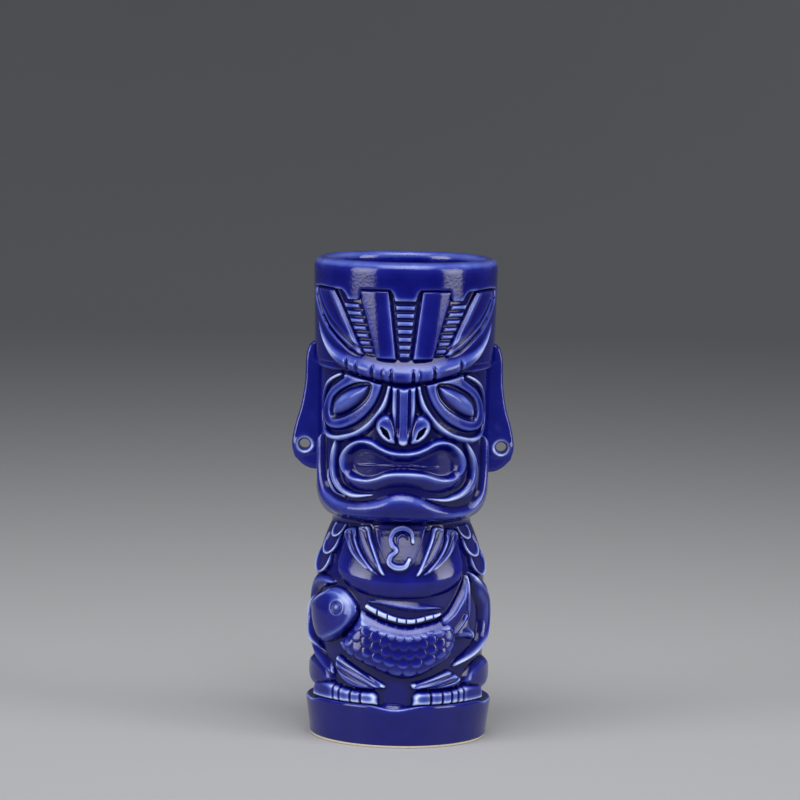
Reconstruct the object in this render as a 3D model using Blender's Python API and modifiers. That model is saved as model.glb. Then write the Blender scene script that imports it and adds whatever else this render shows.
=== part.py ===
"""Glazed tiki mug: a cast cup with relief pieces of clay luted on to it.

The cup is turned about Z, looks towards -Y and stands on z = 0. Every relief
piece is drawn flat, the way a potter cuts it from a rolled sheet: u runs round
the wall and z runs up it. The sheet is trimmed to the pieces laid before it,
raised into a pillow and laid on the wall with a thin line of slip under it.
Sizes are in metres. A drawing is in millimetres and fills a panel of the wall,
so it stretches with the panel's height and wraps with the wall's radius.
"""
import math

import bmesh
import bpy
from mathutils import Vector
from mathutils.geometry import intersect_point_line

# Slip lines: under a piece, and between two pieces side by side
BOND_GAP = 0.0003
TRIM_GAP = 0.0004

# Drawings: their unit, the wall radius at which they are true to size, and the
# heights that the four panels have in them
DRAWING_UNIT = 0.001
DRAWING_RADIUS = 0.031
BODY_DRAWN = 43.0
COLLAR_DRAWN = 18.5
FACE_DRAWN = 44.0
CROWN_DRAWN = 36.0

# Cup, from the foot up, with the power that sets how full the shoulder is
FOOT_HEIGHT = 0.001
FOOT_WIDTH = 0.006
FOOT_INSET = 0.0005
PLINTH_HEIGHT = 0.0125
PLINTH_FOOT_THICKNESS = 0.0014
PLINTH_TOP_THICKNESS = 0.0029
TORSO_RADIUS = 0.0292
TORSO_HEIGHT = 0.0430
SHOULDER_HEIGHT = 0.0185
SHOULDER_POWER = 1.7
NECK_RADIUS = 0.0242
NECK_HEIGHT = 0.0025
CHIN_HEIGHT = 0.0102
HEAD_RADIUS = 0.030
FACE_HEIGHT = 0.044
WALL = 0.003
FLOOR_THICKNESS = 0.005
FLOOR_FILLET = 0.004

# Headdress sleeve round the top of the head
HEADDRESS_HEIGHT = 0.036
HEADDRESS_TOP_THICKNESS = 0.0017
HEADDRESS_FOOT_THICKNESS = 0.0009
RIM_ROUND = 0.0006

# Ladders between the feathers: drop below the rim, and the rungs
LADDER_DROP = 0.0130
RUNG_PITCH = 0.0026
RUNG_COUNT = 7

# Ears: slabs that stand out sideways, pierced through the lobe
EAR_THICKNESS = 0.007
EAR_ROUND = 0.0009
EAR_HOLE_RADIUS = 0.00195
EAR_HOLE_REACH = 0.0043
EAR_HOLE_LEVEL = 0.0140

# How far the pieces stand out of the wall
HEADBAND_RELIEF = 0.0030
FEATHER_RELIEF = 0.0018
LADDER_RELIEF = 0.0012
EYE_RELIEF = 0.0025
LID_RELIEF = 0.0026
NOSE_RELIEF = 0.0033
LIP_RELIEF = 0.0031
FOLD_RELIEF = 0.0023
JAW_RELIEF = 0.0019
LEI_RELIEF = 0.0023
LEAF_RELIEF = 0.0018
BIB_RELIEF = 0.0010
HOOK_RELIEF = 0.0018
BELLY_RELIEF = 0.0020
FISH_RELIEF = 0.0036
FIN_RELIEF = 0.0022
ARM_RELIEF = 0.0030
LEG_RELIEF = 0.0024

# Rounding: the part of the relief that the side wall takes, the width of the
# rounded shoulder, and the width and depth of a scored line
EDGE_SHARE = 0.42
SHOULDER_WIDTH = 0.004
SCORE_WIDTH = 0.0011
SCORE_DEPTH_SHARE = 0.6

# Facets
TURN_STEPS = 40
CURVE_STEPS = 4
STRIP_STEP = 0.0042
LOOP_STEP = 0.0005
SHEET_THICKNESS = 0.002
LIP_FACETS = 32
EAR_HOLE_FACETS = 14
WINDOW_STEP = 0.0045
WELD_DISTANCE = 0.0001
MERGE_DISTANCE = 0.00001
SHARP_ANGLE = math.radians(40)

# Colours of the glaze and of the bare clay
COBALT = (0.020, 0.022, 0.270, 1.0)
BARE_CLAY = (0.640, 0.560, 0.430, 1.0)
GLAZE_ROUGHNESS = 0.12
CLAY_ROUGHNESS = 0.75

# Levels that the sizes above stack up to
CUP_BASE = FOOT_HEIGHT + BOND_GAP
PLINTH_TOP = CUP_BASE + PLINTH_HEIGHT
SHOULDER_BASE = PLINTH_TOP + TORSO_HEIGHT
NECK_BASE = SHOULDER_BASE + SHOULDER_HEIGHT
CHIN_BASE = NECK_BASE + NECK_HEIGHT
HEAD_BASE = CHIN_BASE + CHIN_HEIGHT
BROW = HEAD_BASE + FACE_HEIGHT
RIM = BROW + HEADDRESS_HEIGHT

# Panels of the wall: a level, and how far a drawn millimetre reaches up from it
BODY = (PLINTH_TOP, TORSO_HEIGHT / BODY_DRAWN)
COLLAR = (NECK_BASE, SHOULDER_HEIGHT / COLLAR_DRAWN)
FACE = (HEAD_BASE, FACE_HEIGHT / FACE_DRAWN)
CROWN = (RIM, HEADDRESS_HEIGHT / CROWN_DRAWN)

# Rows across a strip, from one side to the other
FLAT_ROWS = (-1.0, 1.0)
RIDGE_ROWS = (-1.0, 0.0, 1.0)
ROUND_ROWS = (-1.0, -0.5, 0.5, 1.0)
BROAD_ROWS = (-1.0, -0.6, 0.0, 0.6, 1.0)


def new_collection(name):
    """A collection linked to the scene."""
    collection = bpy.data.collections.new(name)
    bpy.context.scene.collection.children.link(collection)
    return collection


def new_object(name, bm, collection):
    """An object made from a finished bmesh."""
    mesh = bpy.data.meshes.new(name)
    bm.to_mesh(mesh)
    bm.free()
    piece = bpy.data.objects.new(name, mesh)
    collection.objects.link(piece)
    return piece


def evaluated_mesh(piece):
    """The mesh that a piece's modifiers give."""
    bpy.context.view_layer.update()
    depsgraph = bpy.context.evaluated_depsgraph_get()
    return bpy.data.meshes.new_from_object(piece.evaluated_get(depsgraph))


def finish(piece, colour=COBALT, roughness=GLAZE_ROUGHNESS):
    """Give a piece its own glaze, or its bare clay."""
    material = bpy.data.materials.new(piece.name + "_finish")
    material.use_nodes = True
    shader = material.node_tree.nodes["Principled BSDF"]
    shader.inputs["Base Color"].default_value = colour
    shader.inputs["Roughness"].default_value = roughness
    shader.inputs["Metallic"].default_value = 0.0
    material.diffuse_color = colour
    piece.data.materials.clear()
    piece.data.materials.append(material)
    piece.data.shade_smooth()
    piece.data.set_sharp_from_angle(angle=SHARP_ANGLE)


def hide_cutter(cutter):
    """Show a cutter as wire only."""
    cutter.hide_render = True
    cutter.display_type = "WIRE"


# The wall of the cup

def wall_stations():
    """Points (radius, z) up the outside of the cup, foot to rim."""
    stations = [(TORSO_RADIUS, CUP_BASE)]
    for step in range(CURVE_STEPS):
        rise = step / CURVE_STEPS
        radius = NECK_RADIUS + (TORSO_RADIUS - NECK_RADIUS) * (1 - rise ** SHOULDER_POWER)
        stations.append((radius, SHOULDER_BASE + SHOULDER_HEIGHT * rise))
    stations.append((NECK_RADIUS, NECK_BASE))
    for step in range(CURVE_STEPS + 1):
        turn = math.pi / 2 * step / CURVE_STEPS
        radius = NECK_RADIUS + (HEAD_RADIUS - NECK_RADIUS) * math.sin(turn)
        stations.append((radius, CHIN_BASE + CHIN_HEIGHT * (1 - math.cos(turn))))
    stations.append((HEAD_RADIUS, RIM))
    return stations


WALL_STATIONS = wall_stations()


def wall_at(z):
    """Radius and slope of the outside of the cup at a height."""
    for (low_r, low_z), (high_r, high_z) in zip(WALL_STATIONS, WALL_STATIONS[1:]):
        if z <= high_z:
            break
    slope = (high_r - low_r) / (high_z - low_z)
    return low_r + slope * (z - low_z), slope


def on_wall(u, z, height):
    """Point over the wall: u round it, z up it, height out of its slip line."""
    radius, slope = wall_at(z)
    radius += BOND_GAP * math.hypot(1.0, slope) + height
    angle = u / DRAWING_RADIUS
    return Vector((radius * math.sin(angle), -radius * math.cos(angle), z))


def turned(name, profile, collection, closed):
    """A profile of (radius, z) points turned about Z."""
    bm = bmesh.new()
    verts = [bm.verts.new((radius, 0.0, z)) for radius, z in profile]
    for start, end in zip(verts, verts[1:]):
        bm.edges.new((start, end))
    if closed:
        bm.edges.new((verts[-1], verts[0]))
    piece = new_object(name, bm, collection)
    screw = piece.modifiers.new("turn", "SCREW")
    screw.steps = TURN_STEPS
    screw.render_steps = TURN_STEPS
    screw.use_merge_vertices = True
    screw.merge_threshold = MERGE_DISTANCE
    mesh = evaluated_mesh(piece)
    piece.modifiers.clear()
    piece.data = mesh
    return piece


# Drawings on the flat sheet

def on_sheet(panel, u, z):
    """Place on the sheet of a point drawn in a panel."""
    level, rise = panel
    return Vector((u * DRAWING_UNIT, level + z * rise))


def smooth_path(stations, step=STRIP_STEP):
    """A smooth curve through the stations, in steps of about the given size."""
    points = [Vector(station) for station in stations]
    points.insert(0, 2 * points[0] - points[1])
    points.append(2 * points[-1] - points[-2])
    path = []
    for a, b, c, d in zip(points, points[1:], points[2:], points[3:]):
        count = math.ceil((c - b).to_2d().length * DRAWING_UNIT / step)
        for index in range(count):
            t = index / count
            path.append(0.5 * (2 * b + (c - a) * t + (2 * a - 5 * b + 4 * c - d) * t ** 2
                               + (3 * b - a - 3 * c + d) * t ** 3))
    path.append(points[-2])
    return path


def strip(panel, stations, rows=ROUND_ROWS):
    """A strip of clay along stations (u, z, width) of a panel."""
    def draw(growth):
        path = smooth_path(stations)
        last = len(path) - 1
        points = []
        for index, (u, z, width) in enumerate(path):
            ahead = path[min(index + 1, last)] - path[max(index - 1, 0)]
            along = ahead.to_2d().normalized()
            across = Vector((-along.y, along.x))
            centre = on_sheet(panel, u, z)
            if index == 0:
                centre -= along * growth
            if index == last:
                centre += along * growth
            half = width * DRAWING_UNIT / 2 + growth
            points.extend(centre + across * half * row for row in rows)
        faces = []
        for start in range(0, last * len(rows), len(rows)):
            for row in range(start, start + len(rows) - 1):
                faces.append((row, row + 1, row + 1 + len(rows), row + len(rows)))
        return points, faces
    return draw


def even_loop(panel, half_outline, count, growth):
    """A closed loop from the right half of an outline, grown outwards."""
    other_half = [(-u, z) for u, z in reversed(half_outline[1:-1])]
    corners = [Vector((u, z, 0.0)) for u, z in half_outline + other_half]
    path = smooth_path(corners + corners[:1], LOOP_STEP)
    lengths = [0.0]
    for start, end in zip(path, path[1:]):
        lengths.append(lengths[-1] + (end - start).length)
    loop = []
    for index in range(count):
        wanted = lengths[-1] * index / count
        span = max(i for i, length in enumerate(lengths[:-1]) if length <= wanted)
        share = (wanted - lengths[span]) / (lengths[span + 1] - lengths[span])
        point = path[span].lerp(path[span + 1], share)
        loop.append(on_sheet(panel, point.x, point.y))
    grown = []
    for index, point in enumerate(loop):
        along = (loop[(index + 1) % count] - loop[index - 1]).normalized()
        grown.append(point + Vector((-along.y, along.x)) * growth)
    return grown


def ring(panel, outer_half, inner_half, count, rows=4):
    """A ring of clay between two outlines, each given by its right half."""
    def draw(growth):
        outer = even_loop(panel, outer_half, count, growth)
        inner = even_loop(panel, inner_half, count, -growth)
        points = []
        for row in range(rows):
            share = row / (rows - 1)
            points.extend(a.lerp(b, share) for a, b in zip(outer, inner))
        faces = []
        for row in range(rows - 1):
            for index in range(count):
                beside = (index + 1) % count
                first, second = row * count, (row + 1) * count
                faces.append((first + index, first + beside, second + beside, second + index))
        return points, faces
    return draw


def outline(panel, corners):
    """One face inside clockwise corners (u, z) of a panel."""
    def draw(growth):
        points = [on_sheet(panel, u, z) for u, z in corners]
        grown = []
        for index, point in enumerate(points):
            before = (point - points[index - 1]).normalized()
            after = (points[(index + 1) % len(points)] - point).normalized()
            first, second = Vector((-before.y, before.x)), Vector((-after.y, after.x))
            grown.append(point + (first + second) * growth / (1 + first.dot(second)))
        return grown, [tuple(range(len(points)))]
    return draw


def mirrored(stations):
    """The same stations on the other side of the nose line."""
    return [(-u, z, width) for u, z, width in stations]


# Laying the sheets

def flat_sheet(drawing):
    """A drawing as faces at height zero."""
    points, faces = drawing
    bm = bmesh.new()
    verts = [bm.verts.new((point.x, point.y, 0.0)) for point in points]
    for face in faces:
        bm.faces.new([verts[index] for index in face])
    return bm


def slab(name, drawing, thickness):
    """A drawing as a slab of clay, centred on height zero."""
    bm = flat_sheet(drawing)
    lower = bm.verts[:]
    bmesh.ops.extrude_face_region(bm, geom=bm.faces[:], use_keep_orig=True)
    upper = [vert for vert in bm.verts if vert not in set(lower)]
    bmesh.ops.translate(bm, verts=upper, vec=(0.0, 0.0, thickness / 2))
    bmesh.ops.translate(bm, verts=lower, vec=(0.0, 0.0, -thickness / 2))
    bmesh.ops.recalc_face_normals(bm, faces=bm.faces[:])
    piece = new_object(name, bm, cutters)
    hide_cutter(piece)
    return piece


def boxes_meet(one, other):
    """Whether two slabs lie near each other on the sheet."""
    for axis in (0, 1):
        first = [corner[axis] for corner in one.bound_box]
        second = [corner[axis] for corner in other.bound_box]
        if max(first) < min(second) or max(second) < min(first):
            return False
    return True


def largest_island(bm):
    """Delete the scraps that trimming leaves beside the piece."""
    islands = []
    unseen = set(bm.faces)
    while unseen:
        island = {unseen.pop()}
        edge_of_island = list(island)
        while edge_of_island:
            face = edge_of_island.pop()
            for edge in face.edges:
                beside = set(edge.link_faces) & unseen
                unseen -= beside
                island |= beside
                edge_of_island.extend(beside)
        islands.append(island)
    keep = max(islands, key=lambda island: sum(face.calc_area() for face in island))
    scraps = [face for face in bm.faces if face not in keep]
    bmesh.ops.delete(bm, geom=scraps, context="FACES")


def trimmed_sheet(name, draw, holes, inside):
    """The upper face of a slab, trimmed to the pieces laid before it."""
    piece = slab(name, draw(0.0), SHEET_THICKNESS)
    for cutter in laid + holes:
        if boxes_meet(piece, cutter):
            cut = piece.modifiers.new(cutter.name, "BOOLEAN")
            cut.operation = "DIFFERENCE"
            cut.object = cutter
    if inside:
        keep = piece.modifiers.new(inside.name, "BOOLEAN")
        keep.operation = "INTERSECT"
        keep.object = inside
    mesh = evaluated_mesh(piece)
    bpy.data.objects.remove(piece)
    bm = bmesh.new()
    bm.from_mesh(mesh)
    bpy.data.meshes.remove(mesh)
    lower = [vert for vert in bm.verts if vert.co.z < SHEET_THICKNESS / 4]
    bmesh.ops.delete(bm, geom=lower, context="VERTS")
    bmesh.ops.remove_doubles(bm, verts=bm.verts[:], dist=WELD_DISTANCE)
    largest_island(bm)
    return bm


def cut_line(bm, place, across):
    """Put an edge across a sheet, at a place given as (u, z)."""
    geometry = bm.verts[:] + bm.edges[:] + bm.faces[:]
    bmesh.ops.bisect_plane(bm, geom=geometry, plane_co=(*place, 0.0), plane_no=(*across, 0.0))


def scored_share(point, scores):
    """How much of the relief is left at a point, beside the scored lines."""
    share = 1.0
    for place, across in scores:
        distance = abs((point.to_2d() - Vector(place)).dot(Vector(across)))
        depth = SCORE_DEPTH_SHARE * max(0.0, 1 - distance / SCORE_WIDTH)
        share = min(share, 1 - depth)
    return share


def score_sheet(bm, scores):
    """Put edges across a sheet where the wall bends and where lines are scored."""
    for _, z in WALL_STATIONS:
        cut_line(bm, (0.0, z), (0.0, 1.0))
    for place, across in scores:
        for side in (-SCORE_WIDTH, 0.0, SCORE_WIDTH):
            cut_line(bm, Vector(place) + Vector(across) * side, across)
    bmesh.ops.triangulate(bm, faces=bm.faces[:])
    bmesh.ops.dissolve_degenerate(bm, edges=bm.edges[:], dist=WELD_DISTANCE / 2)
    bmesh.ops.triangulate(bm, faces=bm.faces[:])


def pillow_heights(bm, relief, scores):
    """Height of each point of a sheet: a round shoulder, less the scored lines."""
    rim = [[vert.co.copy() for vert in edge.verts] for edge in bm.edges if edge.is_boundary]
    depths = {}
    for vert in bm.verts:
        depths[vert] = 0.0
        if not vert.is_boundary:
            depths[vert] = min(rim_distance(vert.co, start, end) for start, end in rim)
    deepest = max(depths.values())
    heights = {}
    for vert, depth in depths.items():
        climb = 0.0
        if deepest > 0.0:
            climb = 1 - min(depth / min(SHOULDER_WIDTH, deepest), 1.0)
        crown = EDGE_SHARE + (1 - EDGE_SHARE) * math.sqrt(1 - climb ** 2)
        heights[vert] = relief * crown * scored_share(vert.co, scores)
    return heights


def sprig(name, draw, relief, scores=(), holes=(), inside=None, lift=0.0, trims_others=True):
    """A relief piece: trimmed, scored, raised into a pillow, laid on the wall."""
    bm = trimmed_sheet(name, draw, list(holes), inside)
    score_sheet(bm, scores)
    heights = pillow_heights(bm, relief, scores)
    front_height = {vert.co.to_2d().freeze(): height for vert, height in heights.items()}
    bmesh.ops.extrude_face_region(bm, geom=bm.faces[:], use_keep_orig=True)
    for vert in bm.verts:
        height = 0.0 if vert in heights else front_height[vert.co.to_2d().freeze()]
        vert.co = on_wall(vert.co.x, vert.co.y, lift + height)
    bmesh.ops.recalc_face_normals(bm, faces=bm.faces[:])
    if bm.calc_volume(signed=True) < 0.0:
        bmesh.ops.reverse_faces(bm, faces=bm.faces[:])
    piece = new_object(name, bm, parts)
    finish(piece)
    if trims_others:
        laid.append(slab(name + "_trim", draw(TRIM_GAP), SHEET_THICKNESS * 2))
    return piece


def rim_distance(point, start, end):
    """Distance on the sheet from a point to one edge of its rim."""
    nearest, share = intersect_point_line(point, start, end)
    if share < 0.0:
        nearest = start
    if share > 1.0:
        nearest = end
    return (point - nearest).length


def pair(name, panel, stations, relief, rows=RIDGE_ROWS, inside=None):
    """A left piece and its mirror image on the right."""
    sprig("left_" + name, strip(panel, stations, rows), relief, inside=inside)
    sprig("right_" + name, strip(panel, mirrored(stations), rows), relief, inside=inside)


# The cast pieces

def build_cup():
    """Foot ring, plinth and cup, all turned."""
    inner_floor = CUP_BASE + FLOOR_THICKNESS
    inside = [(radius - WALL, z) for radius, z in WALL_STATIONS if z > inner_floor + FLOOR_FILLET]
    profile = [(0.0, inner_floor)]
    corner = TORSO_RADIUS - WALL - FLOOR_FILLET
    for step in range(CURVE_STEPS + 1):
        turn = math.pi / 2 * step / CURVE_STEPS
        profile.append((corner + FLOOR_FILLET * math.sin(turn),
                        inner_floor + FLOOR_FILLET * (1 - math.cos(turn))))
    profile += inside[:-1]
    middle = HEAD_RADIUS - WALL / 2
    for step in range(CURVE_STEPS + 1):
        turn = math.pi * step / CURVE_STEPS
        profile.append((middle - WALL / 2 * math.cos(turn),
                        RIM - WALL / 2 + WALL / 2 * math.sin(turn)))
    profile += list(reversed(WALL_STATIONS[:-1])) + [(0.0, CUP_BASE)]
    finish(turned("cup", profile, parts, closed=False))

    plinth_inside = TORSO_RADIUS + BOND_GAP
    plinth_top = plinth_inside + PLINTH_TOP_THICKNESS
    plinth_foot = plinth_inside + PLINTH_FOOT_THICKNESS
    finish(turned("plinth", [
        (plinth_inside, PLINTH_TOP),
        (plinth_top - RIM_ROUND, PLINTH_TOP),
        (plinth_top, PLINTH_TOP - RIM_ROUND),
        (plinth_foot, CUP_BASE + RIM_ROUND),
        (plinth_foot - RIM_ROUND, CUP_BASE),
        (plinth_inside, CUP_BASE),
    ], parts, closed=True))

    foot_outside = plinth_foot - FOOT_INSET
    foot = turned("foot_ring", [
        (foot_outside - FOOT_WIDTH, FOOT_HEIGHT),
        (foot_outside, FOOT_HEIGHT),
        (foot_outside, 0.0),
        (foot_outside - FOOT_WIDTH, 0.0),
    ], parts, closed=True)
    finish(foot, BARE_CLAY, CLAY_ROUGHNESS)


def headdress_radius(z):
    """Outside of the headdress sleeve at a height."""
    share = (RIM - z) / HEADDRESS_HEIGHT
    thickness = HEADDRESS_TOP_THICKNESS
    thickness += (HEADDRESS_FOOT_THICKNESS - HEADDRESS_TOP_THICKNESS) * share
    return HEAD_RADIUS + BOND_GAP + thickness


def wrapped_cutter(name, drawing):
    """A drawing as a thick block round the head, for cutting the sleeve."""
    bm = flat_sheet(drawing)
    reach = math.ceil(max(abs(vert.co.x) for vert in bm.verts) / WINDOW_STEP)
    for step in range(-reach, reach + 1):
        cut_line(bm, (step * WINDOW_STEP, 0.0), (1.0, 0.0))
    inner = set(bm.verts)
    bmesh.ops.extrude_face_region(bm, geom=bm.faces[:], use_keep_orig=True)
    for vert in bm.verts:
        radius = HEAD_RADIUS - WALL / 2 if vert in inner else HEAD_RADIUS + WALL
        angle = vert.co.x / DRAWING_RADIUS
        vert.co = (radius * math.sin(angle), -radius * math.cos(angle), vert.co.y)
    bmesh.ops.recalc_face_normals(bm, faces=bm.faces[:])
    cutter = new_object(name, bm, cutters)
    hide_cutter(cutter)
    return cutter


def build_headdress(window, headband):
    """The sleeve round the top, with a window for the feather fan."""
    inside = HEAD_RADIUS + BOND_GAP
    foot = RIM - HEADDRESS_HEIGHT
    top = RIM - WALL / 2
    sleeve = turned("headdress", [
        (inside, top),
        (headdress_radius(top) - RIM_ROUND, top),
        (headdress_radius(top), top - RIM_ROUND),
        (headdress_radius(foot), foot),
        (inside, foot),
    ], parts, closed=True)
    for name, drawing in (("headband_seat", headband(TRIM_GAP)), ("fan_window", window(0.0))):
        cut = sleeve.modifiers.new(name, "BOOLEAN")
        cut.operation = "DIFFERENCE"
        cut.object = wrapped_cutter(name, drawing)
        sleeve.data = evaluated_mesh(sleeve)
        sleeve.modifiers.clear()
    finish(sleeve)


# The relief pieces, from the top down

def build_fan():
    """Headband, and the fan of feathers and rungs that stands behind it."""
    notched = [(3.6, -12.6), (4.6, -9.1), (15.0, -9.1), (16.4, -12.2), (21.6, -12.2),
               (23.2, -9.3), (33.0, -7.8), (41.0, -7.8)]
    bow = [(41.0, -7.8, 0.0), (35.6, -15.8, 0.0), (26.6, -25.8, 0.0), (11.0, -34.4, 0.0),
           (0.0, -36.0, 0.0)]
    half = notched + [(point.x, point.y) for point in smooth_path(bow)[1:]]
    window = outline(CROWN, half[:-1] + [(-u, z) for u, z in reversed(half)])
    inside_window = slab("fan_inside", window(-TRIM_GAP), SHEET_THICKNESS * 2)

    half_band = [(0.0, -37.3, 8.4), (10.0, -35.7, 7.2), (20.0, -33.2, 6.8),
                 (28.0, -31.2, 5.2), (33.0, -30.4, 2.0)]
    band = mirrored(reversed(half_band[1:])) + half_band
    notches = [((side * u * DRAWING_UNIT, RIM), (side * 1.0, 0.0))
               for side in (-1, 1) for u in (3.6, 10.4, 20.2)]
    headband = strip(CROWN, band)
    sprig("headband", headband, HEADBAND_RELIEF, notches)
    build_headdress(window, headband)

    ladders = {
        "left_rungs": [(-19.1, -13.0, 5.4), (-11.6, -33.0, 3.0)],
        "middle_rungs": [(0.0, -13.4, 7.2), (0.0, -33.0, 4.0)],
        "right_rungs": [(19.1, -13.0, 5.4), (11.6, -33.0, 3.0)],
    }
    rung_lines = [((0.0, RIM - LADDER_DROP - RUNG_PITCH * rung), (0.0, 1.0))
                  for rung in range(1, RUNG_COUNT + 1)]
    for name, stations in ladders.items():
        sprig(name, strip(CROWN, stations, FLAT_ROWS), LADDER_RELIEF, rung_lines,
              inside=inside_window)

    pair("inner_feather", CROWN, [(-10.2, -9.6, 9.2), (-8.0, -21.0, 8.0), (-5.6, -34.0, 5.6)],
         FEATHER_RELIEF, ROUND_ROWS, inside_window)
    pair("outer_feather", CROWN, [(-31.0, -8.6, 13.0), (-25.0, -19.0, 11.5), (-16.4, -32.0, 6.0)],
         FEATHER_RELIEF, ROUND_ROWS, inside_window)


def build_face():
    """Nose, lips, eyes, cheek folds and jaw."""
    ridges = [((u * DRAWING_UNIT, HEAD_BASE), (1.0, 0.0)) for u in (-1.35, 1.35)]
    sprig("nose_bridge", strip(FACE, [(0.0, 40.0, 8.2), (0.0, 31.5, 8.0), (0.0, 25.5, 7.0),
                                           (0.0, 17.4, 3.4)]), NOSE_RELIEF, ridges)
    for side, name in ((-1, "left_nostril"), (1, "right_nostril")):
        wing = [(5.4, 27.8, 2.2), (6.6, 23.6, 5.4), (5.6, 19.6, 4.6), (3.4, 17.3, 1.6)]
        hole = [(6.6, 23.2, 1.4), (5.5, 21.3, 2.2), (4.4, 19.7, 1.2)]
        if side < 0:
            wing, hole = mirrored(wing), mirrored(hole)
        opening = slab(name + "_hole", strip(FACE, hole, FLAT_ROWS)(0.0),
                       SHEET_THICKNESS * 2)
        sprig(name, strip(FACE, wing, RIDGE_ROWS), NOSE_RELIEF, holes=[opening])

    outer = [(0.0, 15.8), (6.0, 18.0), (12.9, 20.5), (18.7, 19.0), (22.3, 15.2), (23.1, 10.6),
             (21.4, 4.8), (17.3, 1.7), (12.6, 1.1), (6.3, 2.3), (0.0, 3.2)]
    inner = [(0.0, 11.8), (5.8, 12.9), (11.7, 15.2), (16.2, 15.1), (18.1, 11.7), (16.9, 7.8),
             (12.8, 5.9), (7.4, 7.4), (0.0, 8.9)]
    sprig("lips", ring(FACE, outer, inner, LIP_FACETS), LIP_RELIEF)

    pair("eye_lens", FACE, [(-27.2, 25.6, 1.6), (-24.0, 29.2, 6.4), (-19.2, 32.8, 7.2),
                                 (-14.4, 35.8, 4.8), (-10.8, 38.0, 1.2)], EYE_RELIEF, ROUND_ROWS)
    pair("eye_ring", FACE, [(-31.4, 23.6, 2.6), (-27.0, 28.9, 12.0), (-20.2, 33.2, 14.6),
                                 (-13.4, 36.6, 11.0), (-7.6, 39.4, 3.6)], EYE_RELIEF, ROUND_ROWS)
    pair("eyelid", FACE, [(-27.0, 43.4, 1.6), (-32.6, 38.0, 2.6), (-34.4, 31.0, 3.2),
                               (-32.6, 24.0, 3.4), (-27.6, 20.9, 3.2), (-20.8, 20.9, 3.0),
                               (-14.2, 23.3, 2.8), (-9.2, 27.7, 2.6), (-6.1, 33.3, 2.2),
                               (-5.2, 39.4, 1.4)], LID_RELIEF)
    pair("cheek_fold", FACE, [(-25.8, 18.6, 2.0), (-27.2, 12.4, 2.8), (-26.2, 5.6, 2.9),
                                   (-22.6, 0.9, 2.8), (-17.2, -1.3, 2.6), (-11.6, -1.0, 2.2),
                                   (-6.0, 0.4, 1.4)], FOLD_RELIEF)
    half_jaw = [(0.0, -5.4, 9.4), (9.0, -6.4, 8.2), (19.5, -7.4, 7.2), (29.5, -3.2, 8.2),
                (35.2, 6.2, 6.4), (36.6, 17.6, 4.2)]
    jaw = mirrored(reversed(half_jaw[1:])) + half_jaw
    sprig("jaw", strip(FACE, jaw, RIDGE_ROWS), JAW_RELIEF)


def build_ears():
    """Long pierced ears, seated on the head and the headdress."""
    ear_seat = turned("ear_seat", [
        (0.0, RIM),
        (headdress_radius(RIM) + BOND_GAP, RIM),
        (headdress_radius(RIM - HEADDRESS_HEIGHT) + BOND_GAP, RIM - HEADDRESS_HEIGHT - BOND_GAP),
        (HEAD_RADIUS + BOND_GAP, RIM - HEADDRESS_HEIGHT - BOND_GAP),
        (HEAD_RADIUS + BOND_GAP, CHIN_BASE),
        (0.0, CHIN_BASE),
    ], cutters, closed=False)
    hide_cutter(ear_seat)
    half = [(-4.0, 50.0), (1.6, 50.2), (4.1, 46.2), (4.5, 36.2), (5.8, 27.6), (7.3, 22.4),
            (8.5, 17.0), (8.7, 12.8), (7.8, 9.6), (5.2, 7.0), (1.4, 5.2), (-4.0, 5.0)]
    for side, name in ((-1, "left_ear"), (1, "right_ear")):
        curve = bpy.data.curves.new(name, "CURVE")
        curve.dimensions = "2D"
        curve.fill_mode = "BOTH"
        curve.extrude = EAR_THICKNESS / 2 - EAR_ROUND
        curve.bevel_depth = EAR_ROUND
        curve.bevel_resolution = 1
        curve.offset = -EAR_ROUND
        drawn = [on_sheet(FACE, point.x, point.y)
                 for point in smooth_path([(u, z, 0.0) for u, z in half])]
        border = [(HEAD_RADIUS + point.x, point.y) for point in drawn]
        hole_x = HEAD_RADIUS + EAR_HOLE_REACH
        hole_radius = EAR_HOLE_RADIUS - EAR_ROUND / 2
        turns = [math.tau * step / EAR_HOLE_FACETS for step in range(EAR_HOLE_FACETS)]
        hole = [(hole_x + hole_radius * math.cos(turn),
                 HEAD_BASE + EAR_HOLE_LEVEL + hole_radius * math.sin(turn)) for turn in turns]
        for loop in (border, hole):
            spline = curve.splines.new("POLY")
            spline.points.add(len(loop) - 1)
            spline.use_cyclic_u = True
            for point, (x, z) in zip(spline.points, loop):
                point.co = (side * x, z, 0.0, 1.0)
        cut_out = bpy.data.objects.new(name + "_curve", curve)
        cutters.objects.link(cut_out)
        cut_out.rotation_euler.x = math.pi / 2
        bm = bmesh.new()
        bm.from_mesh(evaluated_mesh(cut_out))
        bm.transform(cut_out.matrix_world)
        bpy.data.objects.remove(cut_out)
        bmesh.ops.remove_doubles(bm, verts=bm.verts[:], dist=MERGE_DISTANCE)
        bmesh.ops.recalc_face_normals(bm, faces=bm.faces[:])
        ear = new_object(name, bm, parts)
        cut = ear.modifiers.new("ear_seat", "BOOLEAN")
        cut.operation = "DIFFERENCE"
        cut.object = ear_seat
        ear.data = evaluated_mesh(ear)
        ear.modifiers.clear()
        finish(ear)


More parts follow.
